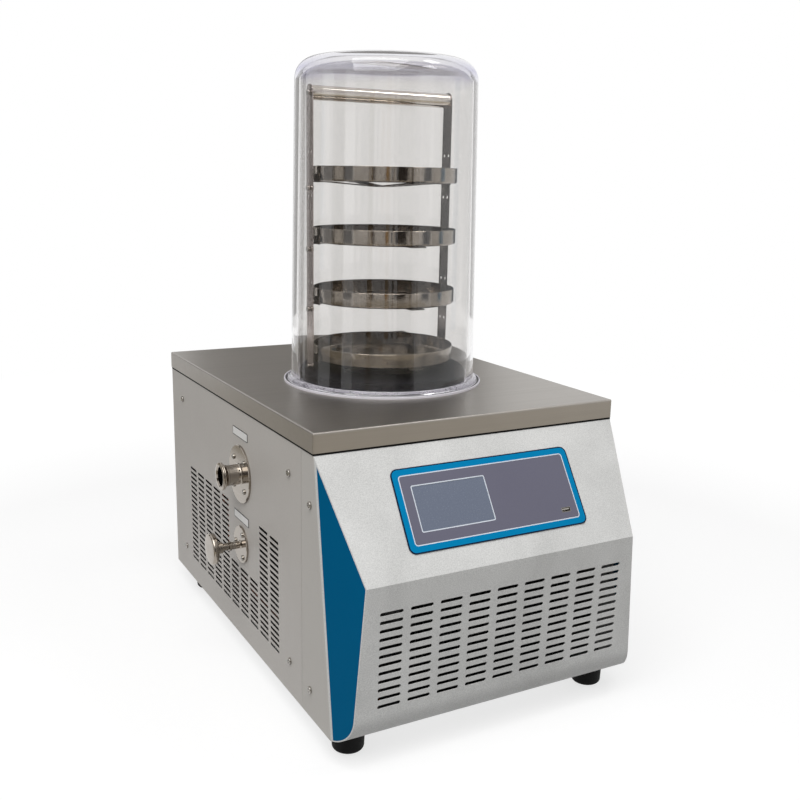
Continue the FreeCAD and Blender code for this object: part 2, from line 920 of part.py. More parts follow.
def coil_end(side, height):
    """Centre of the coil tube where a turn stops, beside the gap for the vacuum pipe."""
    turn = math.radians(180 - side * coil_gap_angle)
    return at(coil_radius * math.cos(turn), coil_radius * math.sin(turn), height)


def compressor_stub_end(offset, height):
    x = compressor_x - compressor_radius - compressor_stub
    return at(x, compressor_y + offset, compressor_z + height)


def evaporator_routes():
    """The liquid line into the coil's lowest turn, and the suction line from its highest."""
    inlet = coil_end(-1, coil_first)
    outlet = coil_end(1, coil_last)
    drier_end = at(pipe_run_x, drier_y + drier_length, condenser_low)
    behind = drier_end + Y * drier_tail
    stub = compressor_stub_end(suction_offset, suction_height)
    liquid = [drier_end, behind, at(pipe_run_x, behind.y, inlet.z), at(pipe_run_x, inlet.y, inlet.z), inlet]
    suction = [outlet, at(pipe_run_x, outlet.y, outlet.z), at(pipe_run_x, stub.y, outlet.z),
               at(pipe_run_x, stub.y, stub.z), stub]
    return liquid, suction


def make_cold_trap():
    well = fuse([
        rod(trap_outer, at(0, 0, trap_bottom - trap_wall), Z, trap_depth + trap_wall),
        rod(trap_flange_radius, at(0, 0, top_z), Z, trap_flange),
    ])
    well = well.cut(rod(trap_radius, at(0, 0, trap_bottom), Z, trap_depth + trap_flange + 1))
    well = well.cut(rod(drain_pipe_bore, at(0, 0, trap_bottom - trap_wall - 1), Z, trap_wall + 2))
    well = well.cut(rod(vacuum_pipe_bore, at(-trap_outer - 1, 0, vacuum_z), X, trap_outer / 2))
    keep("cold_trap", well)

    cover = ring(cover_radius, cover_opening_radius, at(0, 0, cover_bottom), Z, cover_thickness)
    rims = [edge for edge in cover.Edges if edge.CenterOfMass.z > cover_top - 0.01]
    keep("trap_cover", cover.makeFillet(cover_edge, rims))

    length = half_body - trap_radius
    duct = ring(vacuum_pipe_radius, vacuum_pipe_bore, at(-half_body, 0, vacuum_z), X, length)
    keep("vacuum_pipe", duct.cut(rod(trap_outer, at(0, 0, trap_bottom), Z, trap_depth)))
    keep("drain_pipe", hollow_pipe(drain_route(), drain_pipe_radius, drain_pipe_bore, drain_pipe_bend))


def make_coil():
    """Turns that double back beside the vacuum pipe, joined by short risers."""
    half_sweep = 180 - coil_gap_angle + coil_stub_angle
    pieces = []
    for turn in range(coil_turns):
        z = coil_first + turn * coil_pitch
        start = FreeCAD.Rotation(Z, -half_sweep).multVec(at(coil_radius, 0, z))
        heading = Z.cross(start)
        section = Part.Face(Part.Wire(Part.makeCircle(coil_tube_radius, start, heading)))
        pieces.append(section.revolve(ORIGIN, Z, 2 * half_sweep))
        if turn < coil_turns - 1:
            foot = coil_end(1 if turn % 2 == 0 else -1, z)
            pieces.append(rod(coil_riser_radius, foot, Z, coil_pitch))
    coil = fuse(pieces)
    keep("evaporator_coil", coil)
    return coil


def make_foam():
    foam = rod(foam_radius, at(0, 0, foam_z), Z, under_top - foam_z)
    cavity = coil_radius + coil_tube_radius + seat_gap
    floor = trap_bottom - trap_wall
    foam = foam.cut(rod(cavity, at(0, 0, floor), Z, under_top - floor + 1))
    foam = foam.cut(rod(vacuum_pipe_radius + seat_gap, at(-foam_radius - 1, 0, vacuum_z), X, foam_radius))
    foam = foam.cut(rod(drain_pipe_radius + seat_gap, at(0, 0, foam_z - 1), Z, foam_bottom + 2))
    for path in evaporator_routes():
        for end in (path[0], path[-1]):
            if end.distanceToPoint(at(0, 0, end.z)) < foam_radius:
                foam = foam.cut(rod(pipe_radius + seat_gap, end, -X, foam_radius))
    keep("trap_insulation", foam)


# --- seal ring and bell jar -----------------------------------------------------------------


def make_seal_and_jar():
    base = ring(seal_radius, seal_inner_radius, at(0, 0, top_z), Z, seal_base)
    lip = ring(seal_radius, seal_radius - seal_lip, at(0, 0, top_z), Z, seal_lip_height)
    seal = fuse([base, lip])
    tips = [edge for edge in seal.Edges if edge.CenterOfMass.z > top_z + seal_lip_height - 0.01]
    keep("seal_ring", seal.makeFillet(seal_lip * 0.4, tips))

    draft = (jar_bottom_radius - jar_top_radius) / jar_height
    crown = jar_height - jar_crown_rise
    shoulder_z = crown - jar_shoulder_radius
    shoulder_r = jar_bottom_radius - draft * shoulder_z
    inner_top = jar_height - jar_crown
    inner_shoulder_z = inner_top - jar_inner_shoulder_radius
    inner_r = jar_bottom_radius - draft * inner_shoulder_z - jar_wall
    neck_z = jar_foot_height + jar_foot_slope
    outline = [
        (jar_bottom_radius - jar_wall, 0),
        (jar_foot_radius, 0),
        (jar_foot_radius, jar_foot_height),
        (jar_bottom_radius - draft * neck_z, neck_z),
        (shoulder_r, shoulder_z),
    ]
    points = [at(r, 0, jar_z + z) for r, z in outline]
    edges = [line(a, b) for a, b in zip(points, points[1:])]
    outer_centre = at(shoulder_r - jar_shoulder_radius, 0, jar_z + shoulder_z)
    edges.append(arc(outer_centre, jar_shoulder_radius, 0, 90))
    rim = outer_centre + Z * jar_shoulder_radius
    peak = at(0, 0, jar_z + jar_height)
    sagitta = (rim.x ** 2 - jar_crown_rise ** 2) / (2 * jar_crown_rise)
    half_turn = math.atan2(rim.x, sagitta) / 2
    middle = at((sagitta + jar_crown_rise) * math.sin(half_turn), 0,
                peak.z - (sagitta + jar_crown_rise) * (1 - math.cos(half_turn)))
    edges.append(Part.Arc(rim, middle, peak).toShape())
    inner_centre = at(inner_r - jar_inner_shoulder_radius, 0, jar_z + inner_shoulder_z)
    ceiling = at(0, 0, jar_z + inner_top)
    edges.append(line(peak, ceiling))
    edges.append(line(ceiling, inner_centre + Z * jar_inner_shoulder_radius))
    edges.append(arc(inner_centre, jar_inner_shoulder_radius, 90, 0))
    edges.append(line(at(inner_r, 0, jar_z + inner_shoulder_z), points[0]))
    keep("bell_jar", revolved(edges))


# --- drying rack ----------------------------------------------------------------------------


def post(side):
    """An upright flat strip, edge to the front, with a round top and pairs of spare holes."""
    start = min(side * post_face, side * post_half_span)
    edge = post_setback - post_width / 2
    strip = box(start, start + post_thickness, edge, edge + post_width, cover_top,
                post_crown)
    strip = fuse([strip, rod(post_width / 2, at(start, post_setback, post_crown), X,
                             post_thickness)])
    holes = []
    for row in range(post_hole_rows):
        z = cover_top + post_hole_first + row * post_hole_pitch
        for offset in (-post_hole_spacing / 2, post_hole_spacing / 2):
            holes.append(rod(post_hole_radius, at(start - 1, post_setback + offset, z), X,
                             post_thickness + 2))
    for z in shelf_heights():
        place = at(start - 1, post_setback, z - shelf_screw_drop)
        holes.append(rod(shelf_screw_radius + hole_clearance, place, X, post_thickness + 2))
    place = at(start - 1, post_setback, post_crown)
    holes.append(rod(handle_screw_radius + hole_clearance, place, X, post_thickness + 2))
    return strip.cut(Part.makeCompound(holes))


def shelf_heights():
    return [cover_top + shelf_first + level * shelf_pitch for level in range(shelf_count)]


def shelf_arm_outline(end, hub, z):
    """Side view of an arm as (along, height): level at both ends, sagging to a flat hub."""
    low, high = hub
    top = [(-end, z), (-shelf_landing, z), (low, z - shelf_sag), (high, z - shelf_sag),
           (shelf_landing, z), (end, z)]
    return top + [(along, height - shelf_sheet) for along, height in reversed(top)]


def rounded_plate_across_x(start, y0, y1, z0, z1, radius, corners_from):
    """A sheet standing square to X with its corners above corners_from rounded."""
    plate = box(start, start + shelf_sheet, y0, y1, z0, z1)
    corners = [edge for edge in plate.Edges
               if abs(edge.tangentAt(edge.FirstParameter).x) > 0.9 and edge.CenterOfMass.z > corners_from]
    return plate.makeFillet(radius, corners)


def shelf_support(z):
    """One folded sheet: a cross under the tray, upturned lugs and an ear against each post."""
    half = shelf_arm / 2
    reach = tray_radius + tray_play + shelf_sheet
    across = shelf_arm_outline(post_face, (-shelf_hub, shelf_hub), z)
    along = shelf_arm_outline(reach, (post_setback - half, post_setback + half), z)
    pieces = [
        prism([at(x, post_setback - half, height) for x, height in across], Y * shelf_arm),
        prism([at(-half, y, height) for y, height in along], X * shelf_arm),
    ]
    for side in (-1, 1):
        start = min(side * reach, side * tray_lug_face)
        pieces.append(rounded_plate_across_x(start, -half, half, z - shelf_sheet, z + shelf_lug,
                                             shelf_lug_corner, z))
        start = min(side * post_face, side * (post_face - shelf_sheet))
        pieces.append(rounded_plate_across_x(start, post_setback - shelf_ear_width / 2,
                                             post_setback + shelf_ear_width / 2, z - shelf_ear_drop,
                                             z + shelf_ear_rise, shelf_ear_corner, 0))
    cross = fuse(pieces)
    for side in (-1, 1):
        place = at(side * (post_face + 1), post_setback, z - shelf_screw_drop)
        cross = cross.cut(rod(shelf_screw_radius + hole_clearance, place, X * -side, shelf_sheet + 2))
    return cross


def tray(z):
    cup = rod(tray_radius, at(0, 0, z), Z, tray_height)
    low = [edge for edge in cup.Edges if edge.CenterOfMass.z < z + 0.01]
    cup = cup.makeFillet(tray_corner, low[:1])
    inside = rod(tray_radius - tray_wall, at(0, 0, z + tray_wall), Z, tray_height)
    floor = [edge for edge in inside.Edges if edge.CenterOfMass.z < z + tray_wall + 0.01]
    return cup.cut(inside.makeFillet(tray_corner - tray_wall, floor[:1]))


def shelf_screw(side, z):
    """A screw from inside through an ear and a post, with its nut on the outer face."""
    outward = X * side
    head = at(side * (post_face - shelf_sheet), post_setback, z - shelf_screw_drop)
    grip = shelf_sheet + post_thickness
    screw = pan_screw(head, outward, shelf_screw_radius, grip + shelf_nut, shelf_screw_head_radius,
                      shelf_screw_head)
    return fuse([screw, rod(shelf_nut_radius, head + outward * grip, outward, shelf_nut)])


def make_rack():
    keep("left_post", in_rack(post(-1)))
    keep("right_post", in_rack(post(1)))

    z = post_crown
    bar = rod(handle_radius, at(-post_face, post_setback, z), X, 2 * post_face)
    screws = []
    for side in (-1, 1):
        head = at(side * post_half_span, post_setback, z)
        inward = X * -side
        bar = bar.cut(rod(handle_screw_radius, head, inward, handle_screw_length))
        screws.append(in_rack(pan_screw(head, inward, handle_screw_radius, handle_screw_length,
                                        handle_screw_head_radius, handle_screw_head)))
    keep("handle_bar", in_rack(bar))
    keep("handle_screws", *screws)

    for number, height in enumerate(shelf_heights(), 1):
        keep(f"shelf_support_{number}", in_rack(shelf_support(height)))
        keep(f"tray_{number}", tray(height))
    keep("shelf_screws", *[in_rack(shelf_screw(side, height))
                           for side in (-1, 1) for height in shelf_heights()])


# --- refrigeration --------------------------------------------------------------------------


def make_condenser():
    half = condenser_width / 2
    spacing = (condenser_width - fin_sheet) / (fin_count - 1)
    pieces = []
    for fin in range(fin_count):
        x = -half + fin * spacing
        pieces.append(box(x, x + fin_sheet, condenser_front, condenser_back, pan_top,
                          pan_top + condenser_height))
    middle = (condenser_front + condenser_back) / 2
    bend = condenser_row_pitch / 2 - 0.5
    turn_x = half + condenser_tube_overhang + bend
    inlet_z = condenser_low + (condenser_tube_rows - 1) * condenser_row_pitch
    route_points = [at(-turn_x, middle, condenser_low)]
    side = 1
    for row in range(condenser_tube_rows):
        z = condenser_low + row * condenser_row_pitch
        if row:
            route_points.append(at(-side * turn_x, middle, z))
        if row < condenser_tube_rows - 1:
            route_points.append(at(side * turn_x, middle, z))
        side = -side
    route_points.append(at(turn_x, middle, inlet_z))
    pieces.append(pipe(route_points, condenser_tube_radius, bend))
    keep("condenser", fuse(pieces))
    return route_points[0], route_points[-1]


def make_fan():
    half = condenser_width / 2
    throat = fan_radius + fan_tip_gap
    centre = at(0, condenser_back, fan_z)
    plate = box(-half, half, condenser_back, condenser_back + shroud_plate, pan_top,
                pan_top + condenser_height)
    duct = rod(throat + shroud_ring_wall, centre, Y, shroud_ring_length)
    arm_y = ring_back - shroud_arm_sheet
    shroud = fuse([plate, duct]).cut(rod(throat, centre - Y, Y, shroud_ring_length + 2))
    arms = []
    for spoke in range(3):
        arm = box(0, throat + shroud_ring_wall / 2, arm_y, ring_back, fan_z - shroud_arm / 2,
                  fan_z + shroud_arm / 2)
        arm.rotate(centre, Y, 90 + spoke * 120)
        arms.append(arm)
    seat = rod(motor_radius, at(0, arm_y, fan_z), Y, shroud_arm_sheet)
    bore = rod(motor_shaft_radius + 1, at(0, arm_y - 1, fan_z), Y, shroud_arm_sheet + 2)
    keep("fan_shroud", fuse([shroud, seat, *arms]).cut(bore))

    motor = rod(motor_radius, at(0, ring_back, fan_z), Y, motor_length)
    rims = [edge for edge in motor.Edges if edge.Length > 2 * motor_radius]
    motor = motor.makeFillet(motor_edge, rims)
    keep("fan_motor", motor.cut(rod(motor_shaft_radius + running_clearance, at(0, ring_back - 1, fan_z), Y,
                                    motor_bore + 1)))

    hub = rod(fan_hub_radius, at(0, fan_front, fan_z), Y, fan_depth)
    hub = hub.makeFillet(fan_hub_edge, [edge for edge in hub.Edges
                                        if edge.Length > 2 * fan_hub_radius
                                        and edge.CenterOfMass.y < fan_front + 1])
    shaft = rod(motor_shaft_radius, at(0, fan_front + fan_depth / 2, fan_z), Y,
                ring_back - fan_front - fan_depth / 2 + motor_bore - motor_bore_end)
    sweep = ring(fan_radius, fan_hub_radius - fan_blade_root, at(0, fan_front - fan_depth / 2, fan_z), Y,
                 2 * fan_depth)
    blades = []
    for blade in range(fan_blades):
        vane = box(0, fan_radius + fan_tip_gap, -fan_blade_sheet / 2, fan_blade_sheet / 2,
                   -fan_blade_chord / 2, fan_blade_chord / 2)
        vane.rotate(ORIGIN, X, fan_blade_pitch)
        vane.rotate(ORIGIN, Y, blade * 360 / fan_blades)
        vane.translate(at(0, fan_front + fan_depth / 2, fan_z))
        blades.append(vane.common(sweep))
    keep("fan_rotor", fuse([hub, shaft, *blades]))


def make_compressor():
    shell_z = compressor_z + compressor_plate
    half_x = compressor_foot_x + compressor_plate_margin
    half_y = compressor_foot_y + compressor_plate_margin
    plate = box(compressor_x - half_x, compressor_x + half_x, compressor_y - half_y,
                compressor_y + half_y, compressor_z, shell_z)
    for place in compressor_feet():
        plate = plate.cut(rod(grommet_bolt_radius + hole_clearance, at(place.x, place.y, compressor_z - 1),
                              Z, compressor_plate + 2))
    centre = at(compressor_x, compressor_y, shell_z)
    can = rod(compressor_radius, centre, Z, compressor_body + compressor_dome)
    lid = [edge for edge in can.Edges if edge.CenterOfMass.z > shell_z + compressor_body]
    can = can.makeFillet(compressor_dome - 1, lid[:1])
    seam = rod(compressor_radius + compressor_rim, centre + Z * compressor_seam_height, Z, compressor_seam)
    terminal = box(compressor_x + terminal_x[0], compressor_x + terminal_x[1],
                   compressor_y - compressor_radius - terminal_reach, compressor_y - terminal_inside,
                   shell_z + terminal_z[0], shell_z + terminal_z[1])
    stubs = [rod(pipe_radius + compressor_stub_wall, compressor_stub_end(*place), X,
                 compressor_stub + compressor_stub_inside)
             for place in ((discharge_offset, discharge_height), (suction_offset, suction_height))]
    keep("compressor", fuse([can, plate, seam, terminal, *stubs]))

    grommets = []
    bolts = []
    reach = shell_z - base_z + grommet_bolt_tail
    for place in compressor_feet():
        bush = ring(grommet_radius, grommet_bolt_radius + hole_clearance, place, Z, grommet_height)
        grommets.append(bush)
        head = at(place.x, place.y, shell_z)
        bolts.append(pan_screw(head, -Z, grommet_bolt_radius, reach, grommet_bolt_head_radius,
                               grommet_bolt_head))
    keep("compressor_grommets", *grommets)
    keep("compressor_bolts", *bolts)


def make_lines(condenser_out, condenser_in, coil):
    liquid, suction = evaporator_routes()
    start = at(pipe_run_x, drier_y, condenser_low)
    to_drier = [condenser_out, at(pipe_run_x, condenser_out.y, condenser_low), start]
    stub = compressor_stub_end(discharge_offset, discharge_height)
    step = stub - X * hot_line_step
    outer_x = condenser_in.x + 2 * pipe_bend
    hot = [stub, step, at(step.x, hot_line_y, stub.z), at(outer_x, hot_line_y, stub.z),
           at(outer_x, hot_line_y, condenser_in.z), at(outer_x, condenser_in.y, condenser_in.z),
           condenser_in]
    lines = [pipe(path, pipe_radius, pipe_bend).cut(coil) for path in (hot, to_drier, liquid, suction)]
    keep("refrigerant_lines", *lines)

    body = rod(drier_radius, start, Y, drier_length)
    shoulders = [edge for edge in body.Edges if edge.Closed]
    keep("filter_drier", body.makeFillet(drier_shoulder, shoulders))


# --- electrics ------------------------------------------------------------------------------


def make_power_supply():
    wide, deep, high = supply_size
    block = box(supply_x, supply_x + wide, supply_y, supply_y + deep, pan_top, pan_top + high)
    grooves = []
    pitch = (deep - 2 * supply_fin_margin) / supply_fins
    for groove in range(supply_fins + 1):
        y = supply_y + supply_fin_margin + groove * pitch - supply_fin_gap / 2
        grooves.append(box(supply_x - 1, supply_x + wide + 1, y, y + supply_fin_gap,
                           pan_top + high - supply_fin_depth, pan_top + high + 1))
    keep("power_supply", block.cut(Part.makeCompound(grooves)))


def socket_blank(x):
    flange = box(x - socket_flange_width / 2, x + socket_flange_width / 2, back_y, back_y + socket_flange,
                 rear_row_z - socket_flange_height / 2, rear_row_z + socket_flange_height / 2)
    body = box(x - socket_body_width / 2, x + socket_body_width / 2, back_y - socket_body_depth, back_y,
               rear_row_z - socket_body_height / 2, rear_row_z + socket_body_height / 2)
    return fuse([flange, body])


def pin(x, z, play, y0, y1):
    """A flat pin of the rear sockets, or the slot for one when play is given."""
    half_width = pin_width / 2 + play
    half_height = pin_height / 2 + play
    return box(x - half_width, x + half_width, y0, y1, rear_row_z + z - half_height,
               rear_row_z + z + half_height)


def make_sockets():
    face = back_y + socket_flange
    recess = box(inlet_x - socket_recess_width / 2, inlet_x + socket_recess_width / 2,
                 face - socket_recess_depth, face + 1, rear_row_z - socket_recess_height / 2,
                 rear_row_z + socket_recess_height / 2)
    inlet = socket_blank(inlet_x).cut(recess)
    pins = [pin(inlet_x + x, z, 0, face - socket_recess_depth - 1, face - pin_setback)
            for x, z in pin_places]
    keep("mains_inlet", fuse([inlet, *pins]))

    outlet = socket_blank(outlet_x)
    for x, z in outlet_places:
        outlet = outlet.cut(pin(outlet_x + x, z, hole_clearance, face - socket_recess_depth, face + 1))
    keep("pump_outlet", outlet)


def make_switch():
    face = back_y + switch_bezel
    pivot = at(switch_x, back_y - rocker_pivot_depth, rear_row_z)
    bezel = box(switch_x - switch_width / 2, switch_x + switch_width / 2, back_y, face,
                rear_row_z - switch_height / 2, rear_row_z + switch_height / 2)
    body = box(switch_x - switch_body_width / 2, switch_x + switch_body_width / 2,
               back_y - switch_body_depth, back_y, rear_row_z - switch_body_height / 2,
               rear_row_z + switch_body_height / 2)
    half_width = rocker_width / 2 + rocker_play
    half_height = rocker_radius + rocker_play
    cavity = box(switch_x - half_width, switch_x + half_width, pivot.y - half_height, face + 1,
                 rear_row_z - half_height, rear_row_z + half_height)
    pin_length = rocker_width + 2 * (rocker_play + rocker_pin_reach)
    hole = rod(rocker_pin_radius + running_clearance, pivot - X * (pin_length / 2 + running_clearance), X,
               pin_length + 2 * running_clearance)
    keep("power_switch_frame", fuse([bezel, body]).cut(cavity).cut(hole))

    barrel = rod(rocker_radius, pivot - X * rocker_width / 2, X, rocker_width)
    crest = pivot + Y * (switch_bezel + rocker_crest)
    rocker = barrel
    for tilt in (-rocker_tilt, rocker_tilt):
        normal = at(0, math.cos(math.radians(tilt)), math.sin(math.radians(tilt)))
        rocker = rocker.cut(beyond(crest, normal).common(rocker_half(pivot, tilt)))
    rocker = rocker.cut(beyond(pivot - Y * rocker_tail, -Y))
    rocker = fuse([rocker, rod(rocker_pin_radius, pivot - X * pin_length / 2, X, pin_length)])
    rocker.rotate(pivot, X, rocker_tilt)
    keep("power_switch_rocker", rocker)


def rocker_half(pivot, tilt):
    """The upper or the lower half of the space round the rocker."""
    size = 4 * rocker_radius
    low = pivot.z if tilt < 0 else pivot.z - size
    return box(pivot.x - size, pivot.x + size, pivot.y - size, pivot.y + size, low, low + size)


# --- build and write ------------------------------------------------------------------------

make_fascia()
make_side_panels()
make_rear_panel()
make_base_frame()
make_worktop()
make_feet()
make_panel_screws()
make_controls()
make_vacuum_port()
make_drain_valve()
make_labels()
make_cold_trap()
coil = make_coil()
make_foam()
make_seal_and_jar()
make_rack()
liquid_out, gas_in = make_condenser()
make_fan()
make_compressor()
make_lines(liquid_out, gas_in, coil)
make_power_supply()
make_sockets()
make_switch()

os.makedirs("parts", exist_ok=True)
for node, shape in nodes.items():
    shape.exportStep(f"parts/{node}.step")
    print(f"{node:24s} {len(shape.Solids)} solids {shape.Volume / 1000:9.1f} cm3 valid {shape.isValid()}")
print(len(nodes), "nodes")
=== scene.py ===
"""Studio scene of a bench-top freeze dryer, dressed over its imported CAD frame.

Every piece is in metres in the row's own frame: +Z up, -Y towards the sloping control front, the
origin on the bench under the bell jar. Classes hold the sizes of one sub-assembly each.
"""
from __future__ import annotations

import logging
import math
from dataclasses import dataclass, field
from enum import Enum
from functools import cache

import bmesh
import bpy
from mathutils import Matrix, Vector


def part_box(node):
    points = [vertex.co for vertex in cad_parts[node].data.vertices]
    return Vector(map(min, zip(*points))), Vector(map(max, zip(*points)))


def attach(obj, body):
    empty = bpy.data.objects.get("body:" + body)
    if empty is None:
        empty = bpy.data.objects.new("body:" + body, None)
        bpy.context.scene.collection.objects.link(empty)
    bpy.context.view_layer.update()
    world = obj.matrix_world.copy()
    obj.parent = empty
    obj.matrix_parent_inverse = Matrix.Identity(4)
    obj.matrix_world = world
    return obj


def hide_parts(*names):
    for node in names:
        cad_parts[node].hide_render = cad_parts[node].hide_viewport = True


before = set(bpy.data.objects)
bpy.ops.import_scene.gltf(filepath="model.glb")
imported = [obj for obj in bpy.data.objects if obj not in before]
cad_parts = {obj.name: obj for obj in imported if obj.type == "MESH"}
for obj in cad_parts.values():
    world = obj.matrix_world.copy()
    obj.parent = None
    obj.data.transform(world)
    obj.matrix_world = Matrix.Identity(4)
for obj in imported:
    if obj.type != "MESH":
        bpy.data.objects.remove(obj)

LOG = logging.getLogger("freeze_dryer")
CABINET = "dryer"
HERE = Matrix.Identity(4)
Point = tuple[float, float, float]
Colour = tuple[float, float, float]
Profile = list[tuple[float, float]]
Socket = bpy.types.NodeSocket


class Facing(Enum):
    """Directions that a turned piece or a screw head looks in."""

    LEFT = (-1.0, 0.0, 0.0)
    RIGHT = (1.0, 0.0, 0.0)
    REAR = (0.0, 1.0, 0.0)
    UP = (0.0, 0.0, 1.0)


class Recess(Enum):
    """Drive recesses of a screw head, each with its length over the head's radius."""

    CROSS = 1.1
    SLOT = 2.2


def srgb(red: int, green: int, blue: int) -> Colour:
    """Turn a display colour into linear light.

    Args:
        red: Red channel, 0 to 255.
        green: Green channel, 0 to 255.
        blue: Blue channel, 0 to 255.

    Returns:
        The three channels in linear light.
    """

    def channel(value: int) -> float:
        """Linear value of one channel."""
        part = value / 255.0
        return part / 12.92 if part <= 0.04045 else ((part + 0.055) / 1.055) ** 2.4

    return channel(red), channel(green), channel(blue)


# --- shader groups ---------------------------------------------------------------------------


class NodeBoard:
    """Thin helper over a node tree that adds and links nodes."""

    def __init__(self, tree: bpy.types.NodeTree) -> None:
        """Hold the tree to build in."""
        self.tree = tree

    @classmethod
    def on(cls, owner: bpy.types.Material | bpy.types.World) -> NodeBoard:
        """Start the nodes of a material or world afresh.

        Args:
            owner: The material or world.

        Returns:
            A board on its empty tree.
        """
        owner.use_nodes = True
        owner.node_tree.nodes.clear()
        return cls(owner.node_tree)

    def add(self, kind: str, values: dict | None = None, **settings: object) -> bpy.types.Node:
        """Add one node.

        Args:
            kind: The node's type name.
            values: Socket name or index to a value, or to an output socket to link from.
            settings: Plain properties of the node.

        Returns:
            The new node.
        """
        node = self.tree.nodes.new(kind)
        for name, value in settings.items():
            setattr(node, name, value)
        for key, value in (values or {}).items():
            if isinstance(value, Socket):
                self.tree.links.new(value, node.inputs[key])
            else:
                node.inputs[key].default_value = value
        return node

    def math(self, operation: str, first: object, second: object = 0.0) -> Socket:
        """Add a Math node of two values or sockets and return its result."""
        return self.add("ShaderNodeMath", {0: first, 1: second}, operation=operation).outputs[0]

    def group(self, tree: bpy.types.NodeTree, values: dict | None = None) -> bpy.types.NodeOutputs:
        """Place a shader group with its own values and return its outputs."""
        return self.add("ShaderNodeGroup", values, node_tree=tree).outputs

    def place(self) -> Socket:
        """Where a point lies on the part."""
        return self.add("ShaderNodeTexCoord").outputs["Object"]

    def axes(self) -> bpy.types.NodeOutputs:
        """Where a point lies on the part, as outputs X, Y and Z."""
        return self.add("ShaderNodeSeparateXYZ", {0: self.place()}).outputs

    def noise(self, place: Socket, scale: object, detail: float, **more: float) -> Socket:
        """Add a Noise Texture and return its value.

        Args:
            place: Where it is read.
            scale: Its scale, as a number or socket.
            detail: Its octaves.
            more: Further inputs by name.

        Returns:
            The value's socket.
        """
        values = {"Vector": place, "Scale": scale, "Detail": detail, **more}
        return self.add("ShaderNodeTexNoise", values).outputs[0]

    def ramp(
        self, value: Socket, low: float, high: float, start: float = 0.0, end: float = 1.0
    ) -> Socket:
        """Map a value from one range to another, clamped.

        Args:
            value: The value's socket.
            low: Where the ramp begins.
            high: Where the ramp ends.
            start: Result at the beginning.
            end: Result at the end.

        Returns:
            The result's socket.
        """
        ends = {"From Min": low, "From Max": high, "To Min": start, "To Max": end}
        return self.add("ShaderNodeMapRange", {"Value": value, **ends}).outputs[0]

    def shared(self, first: Socket, second: Socket, share: float) -> Socket:
        """Add two values by weight.

        Args:
            first: First value.
            second: Second value.
            share: Weight of the first; the second has the rest.

        Returns:
            The sum's socket.
        """
        rest = self.math("MULTIPLY", second, 1.0 - share)
        return self.math("ADD", self.math("MULTIPLY", first, share), rest)

    def blend(self, factor: Socket, first: Colour | Socket, second: Colour | Socket) -> Socket:
        """Mix two colours.

        Args:
            factor: How much of the second shows.
            first: First colour, or its socket.
            second: Second colour, or its socket.

        Returns:
            The mixed colour's socket.
        """
        sides = [(*side, 1.0) if isinstance(side, tuple) else side for side in (first, second)]
        values = {0: factor, 6: sides[0], 7: sides[1]}
        return self.add("ShaderNodeMix", values, data_type="RGBA").outputs[2]


